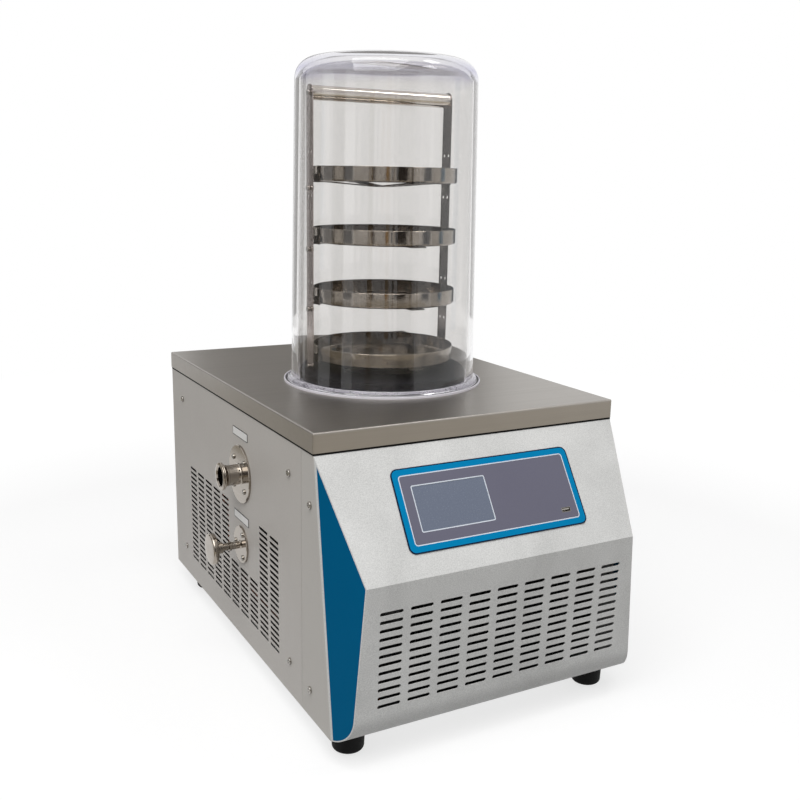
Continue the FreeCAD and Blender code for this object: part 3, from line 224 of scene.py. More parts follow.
class ShaderLibrary:
    """The effects that several finishes share, each a node group built once."""

    @staticmethod
    def _new(
        name: str, inputs: dict[str, float | Point], *outputs: str
    ) -> tuple[NodeBoard, bpy.types.NodeOutputs]:
        """Make an empty group with named sockets.

        Args:
            name: The group's name.
            inputs: Input name to its default, three numbers for a vector.
            outputs: Names of the values that it puts out.

        Returns:
            A board on the new group, and what it is given.
        """
        tree = bpy.data.node_groups.new(name, "ShaderNodeTree")
        for label, default in inputs.items():
            kind = "NodeSocketVector" if isinstance(default, tuple) else "NodeSocketFloat"
            socket = tree.interface.new_socket(label, in_out="INPUT", socket_type=kind)
            socket.default_value = default
        for label in outputs:
            tree.interface.new_socket(label, in_out="OUTPUT", socket_type="NodeSocketFloat")
        board = NodeBoard(tree)
        return board, board.add("NodeGroupInput").outputs

    @cache
    def grain(self) -> bpy.types.NodeTree:
        """Long fine scratches of brushed metal.

        Returns:
            A group with Mask and Height outputs.
        """
        sizes = {"Stretch": (6.0, 900.0, 900.0), "Depth": 1.0}
        board, given = self._new("Brushed grain", sizes, "Mask", "Height")
        stretched = {0: board.place(), 1: given["Stretch"]}
        along = board.add("ShaderNodeVectorMath", stretched, operation="MULTIPLY").outputs[0]
        fine = board.noise(along, 1.0, 5.0, Roughness=0.7)
        wide = board.noise(along, 0.21, 2.0)
        mask = board.ramp(board.shared(fine, wide, 0.6), 0.3, 0.7)
        height = board.math("MULTIPLY", mask, given["Depth"])
        board.add("NodeGroupOutput", {"Mask": mask, "Height": height})
        return board.tree

    @cache
    def coat(self) -> bpy.types.NodeTree:
        """Fine orange peel of a baked powder coat.

        Returns:
            A group with Mask and Height outputs.
        """
        sizes = {"Scale": 700.0, "Depth": 1.0}
        board, given = self._new("Powder coat", sizes, "Mask", "Height")
        place, scale = board.place(), given["Scale"]
        grit = board.noise(place, scale, 3.0, Roughness=0.6)
        values = {"Vector": place, "Scale": scale}
        cells = board.add("ShaderNodeTexVoronoi", values, feature="SMOOTH_F1").outputs["Distance"]
        height = board.math("MULTIPLY", board.shared(cells, grit, 0.5), given["Depth"])
        board.add("NodeGroupOutput", {"Mask": board.ramp(grit, 0.35, 0.65), "Height": height})
        return board.tree

    @cache
    def handling(self) -> bpy.types.NodeTree:
        """Soft smudges and dust that a surface picks up in use.

        Returns:
            A group with a Mask output.
        """
        board, given = self._new("Handling marks", {"Scale": 9.0, "Amount": 1.0}, "Mask")
        cloud = board.noise(board.place(), given["Scale"], 4.0, Distortion=0.6)
        mask = board.math("MULTIPLY", board.ramp(cloud, 0.35, 0.7), given["Amount"])
        board.add("NodeGroupOutput", {"Mask": mask})
        return board.tree

    @cache
    def inside(self) -> bpy.types.NodeTree:
        """What lies behind the painted outside of a sheet, where black is painted as shade.

        Returns:
            A group with a Mask output, 1 on the inside.
        """
        reach = {"Half Width": 1.0, "Front": -1.0, "Roof": 1.0}
        board, given = self._new("Inside of a sheet", reach, "Mask")
        axes = board.axes()
        across = board.math("LESS_THAN", board.math("ABSOLUTE", axes["X"]), given["Half Width"])
        behind = board.math("GREATER_THAN", axes["Y"], given["Front"])
        under = board.math("LESS_THAN", axes["Z"], given["Roof"])
        mask = board.math("MULTIPLY", board.math("MULTIPLY", across, behind), under)
        board.add("NodeGroupOutput", {"Mask": mask})
        return board.tree


LIBRARY = ShaderLibrary()


# --- finishes --------------------------------------------------------------------------------


@dataclass(frozen=True)
class Finish:
    """What every finish has: a name, a colour, its worn shade and a gloss.

    Attributes:
        name: Material name.
        colour: Main colour in linear light.
        shade: Second colour that the surface drifts to.
        roughness: Mean roughness.
        spread: How far the roughness moves either way.
        metallic: 1 for bare metal.
        coat: Weight of a clear coat.
        bump: Depth of the surface relief in metres.
        specular: Strength of the plain reflection.
    """

    SMOOTHEST = 0.02  # least roughness
    RELIEF = 0.6  # strength of the bump
    COAT_ROUGHNESS = 0.12
    MARKS = 0.7  # share of the handling marks

    name: str
    colour: Colour
    shade: Colour
    roughness: float = 0.5
    spread: float = 0.08
    metallic: float = 0.0
    coat: float = 0.0
    bump: float = 0.00002
    specular: float = 0.5

    def relief(self, board: NodeBoard) -> bpy.types.NodeOutputs:
        """Fine relief of the surface, as outputs Mask and Height."""
        return board.group(LIBRARY.coat())

    def tint(self, board: NodeBoard, mask: Socket) -> Socket:
        """Colour over the surface.

        Args:
            board: The material's board.
            mask: The fine relief's mask.

        Returns:
            The colour socket.
        """
        marks = board.group(LIBRARY.handling(), {"Amount": self.MARKS})["Mask"]
        return board.blend(board.shared(mask, marks, 0.5), self.colour, self.shade)

    def build(self) -> bpy.types.Material:
        """Make the material once.

        Returns:
            The finished material.
        """
        found = bpy.data.materials.get(self.name)
        if found is not None:
            return found
        material = bpy.data.materials.new(self.name)
        board = NodeBoard.on(material)
        relief = self.relief(board)
        mask = relief["Mask"]
        least = max(self.SMOOTHEST, self.roughness - self.spread)
        rough = board.ramp(mask, 0.0, 1.0, least, self.roughness + self.spread)
        raised = {"Height": relief["Height"], "Distance": self.bump, "Strength": self.RELIEF}
        values = {
            "Base Color": self.tint(board, mask),
            "Roughness": rough,
            "Metallic": self.metallic,
            "Specular IOR Level": self.specular,
            "Coat Weight": self.coat,
            "Coat Roughness": self.COAT_ROUGHNESS,
            "Normal": board.add("ShaderNodeBump", raised).outputs[0],
        }
        self.finish(board, board.add("ShaderNodeBsdfPrincipled", values))
        return material

    def finish(self, board: NodeBoard, shader: bpy.types.Node) -> None:
        """Connect the Principled node to the output."""
        board.add("ShaderNodeOutputMaterial", {"Surface": shader.outputs[0]})


@dataclass(frozen=True)
class PowderCoat(Finish):
    """Baked paint with a fine texture.

    Attributes:
        grit: Texture cells per metre.
    """

    grit: float = 900.0

    def relief(self, board: NodeBoard) -> bpy.types.NodeOutputs:
        """Orange peel at this paint's scale."""
        return board.group(LIBRARY.coat(), {"Scale": self.grit})


@dataclass(frozen=True)
class ShellCoat(PowderCoat):
    """Paint on the outside of a sheet whose inside and cut edges are painted black as shade, so
    that slots and gaps read dark.

    Attributes:
        half_width: Distance from the middle plane beyond which the paint starts.
        front: Where the inside starts along Y.
        roof: Where the inside ends along Z.
        inside_shade: Painted shade, black, on the inside and the cut edges.
        flank_shade: Darker colour painted as shade on the outer sides, which are the same sheet as
            the rest, or None where they are like the rest.
    """

    half_width: float = 0.2137
    front: float = -1.0
    roof: float = 1.0
    inside_shade: Colour = (0.006, 0.006, 0.007)
    flank_shade: Colour | None = None

    def tint(self, board: NodeBoard, mask: Socket) -> Socket:
        """Paint outside, with black painted as shade inside and darker outer sides painted as shade
        where given.

        Args:
            board: The material's board.
            mask: The fine relief's mask.

        Returns:
            The colour socket.
        """
        reach = {"Half Width": self.half_width, "Front": self.front, "Roof": self.roof}
        inner = board.group(LIBRARY.inside(), reach)["Mask"]
        # Black painted as shade over the inside and the cut edges.
        painted = board.blend(inner, super().tint(board, mask), self.inside_shade)
        if self.flank_shade is None:
            return painted
        # The outer sides are painted darker as shade.
        across = board.math("ABSOLUTE", board.axes()["X"])
        outer = board.math("GREATER_THAN", across, self.half_width)
        return board.blend(outer, painted, self.flank_shade)


@dataclass(frozen=True)
class BrushedMetal(Finish):
    """Metal with a directional grain.

    Attributes:
        metallic: 1, as for any bare metal.
        stretch: Grain cells per metre along each axis; small along the brushing.
    """

    metallic: float = 1.0
    stretch: Point = (8.0, 900.0, 900.0)

    def relief(self, board: NodeBoard) -> bpy.types.NodeOutputs:
        """Scratches along the brushing."""
        return board.group(LIBRARY.grain(), {"Stretch": self.stretch})


@dataclass(frozen=True)
class SealRubber(Finish):
    """Pale rubber ring with painted shade in its groove, where the gap between its lip and the
    jar's foot lies in shadow.

    Attributes:
        inner: Radius where the groove starts.
        outer: Radius where the groove ends.
        soft: Width over which the painted shade fades at each side.
        groove: Painted shade in the groove.
    """

    inner: float = 0.1344
    outer: float = 0.1378
    soft: float = 0.0003
    groove: Colour = (0.035, 0.034, 0.038)

    def tint(self, board: NodeBoard, mask: Socket) -> Socket:
        """Pale rubber with painted shade in its groove.

        Args:
            board: The material's board.
            mask: The fine relief's mask.

        Returns:
            The colour socket.
        """
        pale = super().tint(board, mask)
        level = {0: board.place(), 1: (1.0, 1.0, 0.0)}
        flat = board.add("ShaderNodeVectorMath", level, operation="MULTIPLY").outputs[0]
        length = board.add("ShaderNodeVectorMath", {0: flat}, operation="LENGTH")
        from_middle = board.math("SUBTRACT", length.outputs["Value"], (self.inner + self.outer) / 2)
        half = (self.outer - self.inner) / 2
        away = board.math("ABSOLUTE", from_middle)
        # Painted shade over the groove between the lip and the jar's foot.
        return board.blend(board.ramp(away, half - self.soft, half, 1.0, 0.0), pale, self.groove)


@dataclass(frozen=True)
class ClearAcrylic(Finish):
    """Clear cast acrylic with a purple tint painted round the jar's shoulder, a painted reflection
    where the thick wall is seen edge on.

    Attributes:
        shoulder: Height at which the painted reflection is deepest.
        depth: Height over which the painted reflection fades out.
        falloff: How fast the painted reflection fades where the wall is met head on.
        index: Index of refraction.
        rebounds: Mirrored bounces after which light is let out of the wall.
        veil: What the wall leaves of a lamp's light.
    """

    shoulder: float = 0.802
    depth: float = 0.018
    falloff: float = 1.3
    index: float = 1.49
    rebounds: float = 2.5
    veil: Colour = (0.95, 0.95, 0.97)

    def tint(self, board: NodeBoard, mask: Socket) -> Socket:
        """Paint a purple reflection where the shoulder is seen edge on.

        Args:
            board: The material's board.
            mask: The fine relief's mask, which clear acrylic has no use for.

        Returns:
            The colour socket.
        """
        # Purple painted reflection, strongest at the shoulder's height and where the wall is seen
        # edge on.
        away = board.math("ABSOLUTE", board.math("SUBTRACT", board.axes()["Z"], self.shoulder))
        near = board.ramp(away, 0.0, self.depth, 1.0, 0.0)
        facing_away = board.add("ShaderNodeLayerWeight", {"Blend": 0.5}).outputs["Facing"]
        edge = board.math("POWER", facing_away, self.falloff)
        return board.blend(board.math("MULTIPLY", near, edge), self.colour, self.shade)

    def finish(self, board: NodeBoard, shader: bpy.types.Node) -> None:
        """Let lamps through the wall, and let light out that rebounds inside the thick crown.

        Args:
            board: The material's board.
            shader: The Principled node.
        """
        shader.inputs["Transmission Weight"].default_value = 1.0
        shader.inputs["IOR"].default_value = self.index
        path = board.add("ShaderNodeLightPath").outputs
        through = board.add("ShaderNodeBsdfTransparent", {"Color": (*self.veil, 1.0)})
        trapped = board.math("GREATER_THAN", path["Glossy Depth"], self.rebounds)
        out = board.math("MAXIMUM", path["Is Shadow Ray"], trapped)
        values = {0: out, 1: shader.outputs[0], 2: through.outputs[0]}
        mix = board.add("ShaderNodeMixShader", values)
        board.add("ShaderNodeOutputMaterial", {"Surface": mix.outputs[0]})


GREY, GREY_WORN = srgb(208, 203, 197), srgb(200, 195, 189)
UPRIGHT = (900.0, 900.0, 8.0)

# The side panels' insides and slot edges are painted black as shade.
SIDE_GREY = ShellCoat("side grey powder coat", GREY, GREY_WORN, 0.48, 0.05)
REAR_GREY = PowderCoat("rear grey powder coat", GREY, GREY_WORN, 0.48, 0.05)
# The fascia's inside is painted black as shade, and its side flanges, the same sheet as the slope,
# are painted darker as shade.
FRONT_GREY = ShellCoat(
    "front grey textured coat", srgb(236, 236, 234), srgb(188, 188, 186), 0.6, 0.1,
    bump=0.00028, grit=820.0, front=-0.2447, roof=0.3, flank_shade=srgb(208, 204, 198),
)
BLUE_PAINT = PowderCoat(
    "blue powder coat", srgb(0, 101, 147), srgb(0, 96, 140), 0.42, 0.05, specular=0.03
)
BLACK_ENAMEL = PowderCoat(
    "black enamel", srgb(20, 20, 22), srgb(30, 30, 32), 0.36, 0.06, coat=0.2, grit=300.0
)

STAINLESS = BrushedMetal(
    "brushed stainless", srgb(161, 156, 150), srgb(151, 146, 140), 0.34, 0.03
)
STAINLESS_UP = BrushedMetal(
    "upright brushed strip", srgb(138, 131, 127), srgb(104, 99, 97), 0.2, 0.06, stretch=UPRIGHT
)
# The same steel as the right upright, painted lighter for the light that the left strip catches.
STAINLESS_LEFT_LIT = BrushedMetal(
    "left upright strip painted lighter", srgb(205, 195, 192), srgb(168, 160, 158), 0.2, 0.06, stretch=UPRIGHT
)
STAINLESS_ROUND = BrushedMetal(
    "turned tray steel", srgb(168, 160, 150), srgb(112, 106, 99), 0.12, 0.06,
    bump=0.00003, stretch=(260.0, 260.0, 5.0),
)
# A darker copy of the brushed stainless, painted shade for the dark front that the shelf arms
# mirror.
SHELF_STEEL_SHADED = BrushedMetal(
    "shelf arm steel painted darker", srgb(120, 114, 108), srgb(88, 84, 80), 0.24, 0.06,
    bump=0.000012, stretch=(200.0, 200.0, 200.0),
)
POLISHED = BrushedMetal(
    "polished steel", srgb(172, 164, 154), srgb(136, 128, 119), 0.1, 0.03,
    bump=0.000002, stretch=(300.0, 20.0, 300.0),
)
# A lighter copy of the polished steel, painted light so that the handle's highlight reads brighter.
HANDLE_STEEL_LIT = BrushedMetal(
    "handle steel painted lighter", srgb(228, 223, 216), srgb(196, 190, 182), 0.07, 0.03,
    bump=0.000002, stretch=(8.0, 500.0, 500.0),
)
SCREW_STEEL = BrushedMetal(
    "screw steel", srgb(176, 172, 166), srgb(120, 117, 112), 0.18, 0.06,
    bump=0.000006, stretch=(900.0, 900.0, 900.0),
)
ZINC = BrushedMetal(
    "zinc plate", srgb(185, 186, 184), srgb(150, 152, 152), 0.35, 0.08,
    stretch=(220.0, 220.0, 220.0),
)
BRASS = BrushedMetal(
    "turned brass", srgb(196, 160, 88), srgb(170, 134, 66), 0.28, 0.06,
    stretch=(400.0, 400.0, 400.0),
)
COPPER = BrushedMetal(
    "drawn copper", srgb(196, 120, 84), srgb(150, 84, 58), 0.3, 0.1,
    stretch=(120.0, 120.0, 120.0),
)
ALUMINIUM = BrushedMetal(
    "mill aluminium", srgb(150, 152, 156), srgb(122, 124, 128), 0.36, 0.08,
    stretch=(60.0, 700.0, 60.0),
)

RUBBER_BLACK = Finish(
    "black rubber", srgb(10, 10, 11), srgb(22, 21, 21), 0.7, 0.1, specular=0.15
)
# The seal's groove is painted dark as shade.
SILICONE = SealRubber(
    "white silicone", srgb(222, 219, 225), srgb(204, 201, 208), 0.42, bump=0.00001
)
COVER_BLACK = Finish(
    "black trap cover", srgb(30, 30, 33), srgb(18, 18, 20), 0.7, 0.12,
    bump=0.00012, specular=0.08,
)
# Its second colour is the purple reflection painted round the shoulder.
ACRYLIC = ClearAcrylic(
    "clear acrylic", (0.84, 0.83, 0.82), (0.06, 0.05, 0.30), 0.02, 0.01, bump=0.0000005
)
FOAM_SKIN = Finish(
    "black foil round the insulation", srgb(30, 30, 32), srgb(44, 44, 46), 0.55, 0.1, bump=0.0009
)
MOULDED_BLACK = Finish("moulded black plastic", srgb(26, 26, 28), srgb(34, 34, 36), 0.45)

FILM_BLUE = Finish(
    "blue panel film", srgb(0, 136, 190), srgb(0, 128, 182), 0.34, 0.04,
    bump=0.000004, specular=0.06,
)
# Dark navy ring painted round the overlay as the shade of its raised edge.
FILM_NAVY_SHADE = Finish(
    "navy panel edge shade", srgb(6, 26, 52), srgb(8, 34, 64), 0.4, 0.05,
    bump=0.000004, specular=0.1,
)
FILM_FACE = Finish(
    "slate panel film", srgb(98, 97, 115), srgb(93, 92, 110), 0.42, 0.04,
    coat=0.2, bump=0.000008,
)
FILM_PALE = Finish(
    "pale panel line", srgb(228, 234, 242), srgb(218, 225, 235), 0.4, 0.04, bump=0.000004
)
SCREEN = Finish(
    "touch screen glass", srgb(92, 102, 124), srgb(104, 114, 132), 0.22, 0.06,
    coat=0.6, bump=0.000002,
)
BOARD = Finish("green solder mask", srgb(20, 92, 52), srgb(14, 74, 42), 0.4, 0.06)
LABEL = Finish(
    "bare label plate", srgb(253, 252, 250), srgb(247, 246, 243), 0.42, 0.05,
    bump=0.000006, specular=0.8,
)
LABEL_EDGE = Finish(
    "label border", srgb(40, 39, 38), srgb(52, 50, 49), 0.5, 0.05, bump=0.000004
)


# --- mesh helpers ----------------------------------------------------------------------------


def link(name: str, data: bpy.types.ID) -> bpy.types.Object:
    """Put data in the scene.

    Args:
        name: Object name.
        data: A mesh, curve, lamp or camera.

    Returns:
        The new object.
    """
    thing = bpy.data.objects.new(name, data)
    bpy.context.scene.collection.objects.link(thing)
    return thing


def smoothed(mesh: bpy.types.Mesh, degrees: float) -> None:
    """Shade a mesh smooth but for edges sharper than an angle."""
    mesh.shade_smooth()
    mesh.set_sharp_from_angle(angle=math.radians(degrees))


def dressed(
    name: str, mesh: bpy.types.Mesh, finish: Finish, smooth: float | None
) -> bpy.types.Object:
    """Put a mesh in the scene with its finish.

    Args:
        name: Object name.
        mesh: Its mesh, in place.
        finish: What it is dressed in.
        smooth: Smooth-shading angle in degrees, or None to leave the shading.

    Returns:
        The new object.
    """
    mesh.name = name
    mesh.materials.clear()
    mesh.materials.append(finish.build())
    if smooth is not None:
        smoothed(mesh, smooth)
    return link(name, mesh)


def poured(name: str, work: bmesh.types.BMesh) -> bpy.types.Mesh:
    """Turn a bmesh into a mesh.

    Args:
        name: Mesh name.
        work: The bmesh, which is freed.

    Returns:
        The mesh.
    """
    mesh = bpy.data.meshes.new(name)
    work.to_mesh(mesh)
    work.free()
    return mesh


def as_shown(thing: bpy.types.Object) -> bpy.types.Mesh:
    """Copy an object's mesh as its modifiers leave it.

    Args:
        thing: The object, or a curve's object.

    Returns:
        A plain mesh.
    """
    bpy.context.view_layer.update()
    graph = bpy.context.evaluated_depsgraph_get()
    return bpy.data.meshes.new_from_object(thing.evaluated_get(graph))


def turned(
    name: str, profile: Profile, place: Matrix, finish: Finish, segments: int, smooth: float
) -> bpy.types.Object:
    """Turn a closed outline about local Z.

    Args:
        name: Object name.
        profile: Radius and height of each point, in order; a radius of 0 lies on the axis.
        place: Where local Z and its origin go.
        finish: What it is dressed in.
        segments: Steps round the axis.
        smooth: Smooth-shading angle in degrees.

    Returns:
        The turned piece.
    """
    on_axis = 1e-7
    work = bmesh.new()
    rings = []
    for radius, height in profile:
        if radius < on_axis:
            rings.append([work.verts.new((0.0, 0.0, height))])
            continue
        angles = [2 * math.pi * step / segments for step in range(segments)]
        rings.append([
            work.verts.new((radius * math.cos(angle), radius * math.sin(angle), height))
            for angle in angles
        ])
    for lower, upper in zip(rings, [*rings[1:], rings[0]]):
        if len(lower) == 1 and len(upper) == 1:
            continue
        for step in range(segments):
            after = (step + 1) % segments
            corners = [lower[step % len(lower)], lower[after % len(lower)]]
            corners += [upper[after % len(upper)], upper[step % len(upper)]]
            unique = list(dict.fromkeys(corners))
            if len(unique) > 2:
                work.faces.new(unique)
    bmesh.ops.recalc_face_normals(work, faces=work.faces)
    bmesh.ops.transform(work, matrix=place, verts=work.verts)
    return dressed(name, poured(name, work), finish, smooth)


def facing(centre: Vector, direction: Facing) -> Matrix:
    """Place that turns local Z to a direction.

    Args:
        centre: Where the local origin goes.
        direction: Where local Z points.

    Returns:
        The placement.
    """
    turn = Vector(direction.value).to_track_quat("Z", "Y").to_matrix().to_4x4()
    return Matrix.Translation(centre) @ turn


def fillet(
    centre: tuple[float, float], radius: float, start: float, end: float, steps: int
) -> Profile:
    """Points along an arc in an outline.

    Args:
        centre: The arc's centre.
        radius: Arc radius.
        start: First angle in degrees from the first axis.
        end: Last angle in degrees.
        steps: Number of chords.

    Returns:
        The arc's points.
    """
    points = []
    for step in range(steps + 1):
        angle = math.radians(start + (end - start) * step / steps)
        across, up = radius * math.cos(angle), radius * math.sin(angle)
        points.append((centre[0] + across, centre[1] + up))
    return points


def rounded_outline(
    width: float, length: float, radius: float, centre: tuple[float, float] = (0.0, 0.0)
) -> Profile:
    """Outline of a rounded rectangle.

    Args:
        width: Size along local X.
        length: Size along local Y.
        radius: Corner radius.
        centre: Middle of the rectangle.

    Returns:
        Its points in order.
    """
    chords = 8
    points = []
    for turn, (right, up) in enumerate(((1, 1), (-1, 1), (-1, -1), (1, -1))):
        across = centre[0] + right * (width / 2 - radius)
        along = centre[1] + up * (length / 2 - radius)
        points += fillet((across, along), radius, 90 * turn, 90 * turn + 90, chords)
    return points


def sheet_piece(
    name: str, outlines: list[Profile], low: float, high: float, place: Matrix, finish: Finish
) -> bpy.types.Object:
    """A flat plate with holes, cut from outlines.

    Args:
        name: Object name.
        outlines: The outer outline first, then each hole.
        low: Local height of the underside.
        high: Local height of the top.
        place: Where the plate goes.
        finish: What it is dressed in.

    Returns:
        The plate.
    """
    curve = bpy.data.curves.new(name, "CURVE")
    curve.dimensions = "2D"
    curve.fill_mode = "BOTH"
    curve.extrude = (high - low) / 2
    for outline in outlines:
        spline = curve.splines.new("POLY")
        spline.points.add(len(outline) - 1)
        for point, (x, y) in zip(spline.points, outline):
            point.co = (x, y, 0.0, 1.0)
        spline.use_cyclic_u = True
    holder = link(name, curve)
    mesh = as_shown(holder)
    bpy.data.objects.remove(holder)
    bpy.data.curves.remove(curve)
    mesh.transform(place @ Matrix.Translation((0.0, 0.0, (low + high) / 2)))
    return dressed(name, mesh, finish, 30.0)


def islands(node: str) -> list[tuple[Vector, Vector]]:
    """Boxes of the separate solids in a CAD node.

    Args:
        node: Node name.

    Returns:
        Lowest and highest corner of each solid, in order of their places.
    """
    work = bmesh.new()
    work.from_mesh(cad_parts[node].data)
    bmesh.ops.remove_doubles(work, verts=work.verts, dist=1e-6)
    left = set(work.verts)
    boxes = []
    while left:
        seed = left.pop()
        group, stack = [seed], [seed]
        while stack:
            for edge in stack.pop().link_edges:
                fresh = [vert for vert in edge.verts if vert in left]
                left.difference_update(fresh)
                group += fresh
                stack += fresh
        low, high = (
            Vector([pick(vert.co[axis] for vert in group) for axis in range(3)])
            for pick in (min, max)
        )
        boxes.append((low, high))
    work.free()
    return sorted(boxes, key=lambda box: [round(value, 4) for value in box[0]])


def upright(node: str) -> tuple[Matrix, float, float]:
    """Measure a round node that stands on the jar's axis.

    Args:
        node: Node name.

    Returns:
        The place of its base on that axis, its radius and its height.
    """
    low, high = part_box(node)
    return Matrix.Translation((0.0, 0.0, low.z)), (high.x - low.x) / 2, high.z - low.z


def seat(low: Vector, high: Vector) -> Vector:
    """Middle of the right face of a box, where a part of the left panel sits."""
    return Vector((high.x, (low.y + high.y) / 2, (low.z + high.z) / 2))


def dress(finish: Finish, *nodes: str) -> None:
    """Give CAD nodes a finish.

    Args:
        finish: Their new finish.
        nodes: Node names.
    """
    for node in nodes:
        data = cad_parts[node].data
        data.materials.clear()
        data.materials.append(finish.build())
        LOG.info("%s is dressed in %s", node, finish.name)


def stand_in(piece: bpy.types.Object, *nodes: str, body: str = CABINET) -> None:
    """Ride a piece on a body in place of CAD nodes.

    Args:
        piece: The detailed piece.
        nodes: CAD nodes that it stands for.
        body: Body that it moves with.
    """
    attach(piece, body)
    if nodes:
        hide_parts(*nodes)
    LOG.info("%s rides on %s", piece.name, body)


# --- repeated pieces by geometry nodes -------------------------------------------------------


@dataclass(frozen=True)
class Spot:
    """Where one copy of a repeated piece goes.

    Attributes:
        place: Its seat.
        way: Where its local Z points.
        spin: Its turn about its own axis, in radians.
    """

    place: Point
    way: Facing
    spin: float = 0.0


class ScatterTree:
    """A geometry node tree that sets one piece on many points, each facing its own way."""

    INPUTS = {"Geometry": "Geometry", "Piece": "Object", "Size": "Float", "Finish": "Material"}

    def __init__(self) -> None:
        """Build the tree once."""
        self.tree = bpy.data.node_groups.new("Set pieces on points", "GeometryNodeTree")
        face = self.tree.interface
        for label, kind in self.INPUTS.items():
            face.new_socket(label, in_out="INPUT", socket_type="NodeSocket" + kind)
        face.new_socket("Geometry", in_out="OUTPUT", socket_type="NodeSocketGeometry")
        board = NodeBoard(self.tree)
        given = board.add("NodeGroupInput").outputs
        attribute = "GeometryNodeInputNamedAttribute"
        way = board.add(attribute, {"Name": "facing"}, data_type="FLOAT_VECTOR").outputs[0]
        spin = board.add(attribute, {"Name": "spin"}, data_type="FLOAT").outputs[0]
        piece = board.add("GeometryNodeObjectInfo", {"Object": given["Piece"]})
        align = board.add("FunctionNodeAlignRotationToVector", {"Vector": way}, axis="Z")
        values = {"Axis": Facing.UP.value, "Angle": spin}
        about = board.add("FunctionNodeAxisAngleToRotation", values)
        both = {0: align.outputs[0], 1: about.outputs[0]}
        turn = board.add("FunctionNodeRotateRotation", both, rotation_space="LOCAL")
        values = {
            "Points": given["Geometry"],
            "Instance": piece.outputs["Geometry"],
            "Rotation": turn.outputs[0],
            "Scale": given["Size"],
        }
        put = board.add("GeometryNodeInstanceOnPoints", values)
        real = board.add("GeometryNodeRealizeInstances", {"Geometry": put.outputs[0]})
        values = {"Geometry": real.outputs[0], "Material": given["Finish"]}
        coat = board.add("GeometryNodeSetMaterial", values)
        board.add("NodeGroupOutput", {"Geometry": coat.outputs[0]})

    def scatter(
        self, name: str, piece: bpy.types.Object, spots: list[Spot], finish: Finish
    ) -> bpy.types.Object:
        """Set a piece on points and turn the result into a plain mesh.

        Args:
            name: Name of the result.
            piece: The piece to repeat, at the origin, facing local Z.
            spots: Where each copy goes.
            finish: What they are dressed in.

        Returns:
            The finished group as one object.
        """
        mesh = bpy.data.meshes.new(name + "_points")
        mesh.from_pydata([spot.place for spot in spots], [], [])
        facings = mesh.attributes.new("facing", "FLOAT_VECTOR", "POINT")
        for entry, spot in zip(facings.data, spots):
            entry.vector = spot.way.value
        spins = mesh.attributes.new("spin", "FLOAT", "POINT")
        for entry, spot in zip(spins.data, spots):
            entry.value = spot.spin
        holder = link(name + "_holder", mesh)
        modifier = holder.modifiers.new("scatter", "NODES")
        modifier.node_group = self.tree
        items = self.tree.interface.items_tree
        keys = {item.name: item.identifier for item in items if item.in_out == "INPUT"}
        modifier[keys["Piece"]] = piece
        modifier[keys["Size"]] = 1.0
        modifier[keys["Finish"]] = finish.build()
        made = as_shown(holder)
        source = piece.data
        for thing in (holder, piece):
            bpy.data.objects.remove(thing)
        for spent in (mesh, source):
            bpy.data.meshes.remove(spent)
        return dressed(name, made, finish, None)


SCATTER = ScatterTree()


@dataclass
class ScrewHead:
    """A pan head with its drive recess, facing local Z with its seat at the origin.

    Attributes:
        radius: Head radius.
        height: Head height.
        recess: Drive recess.
        bite: Recess width.
        brim: Height of the straight side over the head's height.
        cutter: Height of the recess's cutter over the head's; half of it bites.
    """

    radius: float
    height: float
    recess: Recess
    bite: float
    brim: float = 0.35
    cutter: float = 1.1

    def build(self) -> bpy.types.Object:
        """Make the head.

        Returns:
            The head, still loose in the scene.
        """
        crown = self.height
        brim, dome = crown * self.brim, crown * (1 - self.brim)
        profile = [(0.0, 0.0), (self.radius, 0.0), (self.radius, brim)]
        profile += fillet((self.radius - dome, brim), dome, 0, 90, 5)[1:]
        profile.append((0.0, crown))
        head = turned("screw_head", profile, HERE, SCREW_STEEL, 32, 40.0)
        long = self.radius * self.recess.value
        cutters = [(long, self.bite)]
        if self.recess is Recess.CROSS:
            cutters.append((self.bite, long))
        work = bmesh.new()
        for across, along in cutters:
            verts = bmesh.ops.create_cube(work, size=1.0)["verts"]
            scale = Matrix.Diagonal((across, along, crown * self.cutter, 1.0))
            place = Matrix.Translation((0, 0, crown)) @ scale
            bmesh.ops.transform(work, matrix=place, verts=verts)
        cutter = link("recess", poured("recess", work))
        cut = head.modifiers.new("recess", "BOOLEAN")
        cut.operation = "DIFFERENCE"
        cut.object = cutter
        cut.solver = "EXACT"
        cut.use_self = True
        spent = (head.data, cutter.data)
        made = as_shown(head)
        head.modifiers.clear()
        head.data = made
        smoothed(made, 30.0)
        bpy.data.objects.remove(cutter)
        for mesh in spent:
            bpy.data.meshes.remove(mesh)
        return head


def screws(head: ScrewHead, direction: Facing | None, *nodes: str) -> None:
    """Set detailed heads on nodes of screws, whose shanks stay.

    Args:
        head: The head to use.
        direction: Where the heads face, or None for outwards along X.
        nodes: CAD nodes of the screws.
    """
    first_turn, next_turn = 0.3, 0.9
    dress(SCREW_STEEL, *nodes)
    for node in nodes:
        spots = []
        for index, (low, high) in enumerate(islands(node)):
            outwards = Facing.LEFT if low.x + high.x < 0 else Facing.RIGHT
            way = direction or outwards
            along = Vector(way.value)
            reach = abs(along.dot(high - low)) / 2
            place = (low + high) / 2 + along * (reach - head.height)
            spots.append(Spot(tuple(place), way, next_turn * index + first_turn))
        stand_in(SCATTER.scatter(node + "_heads", head.build(), spots, SCREW_STEEL))


# --- cabinet ---------------------------------------------------------------------------------


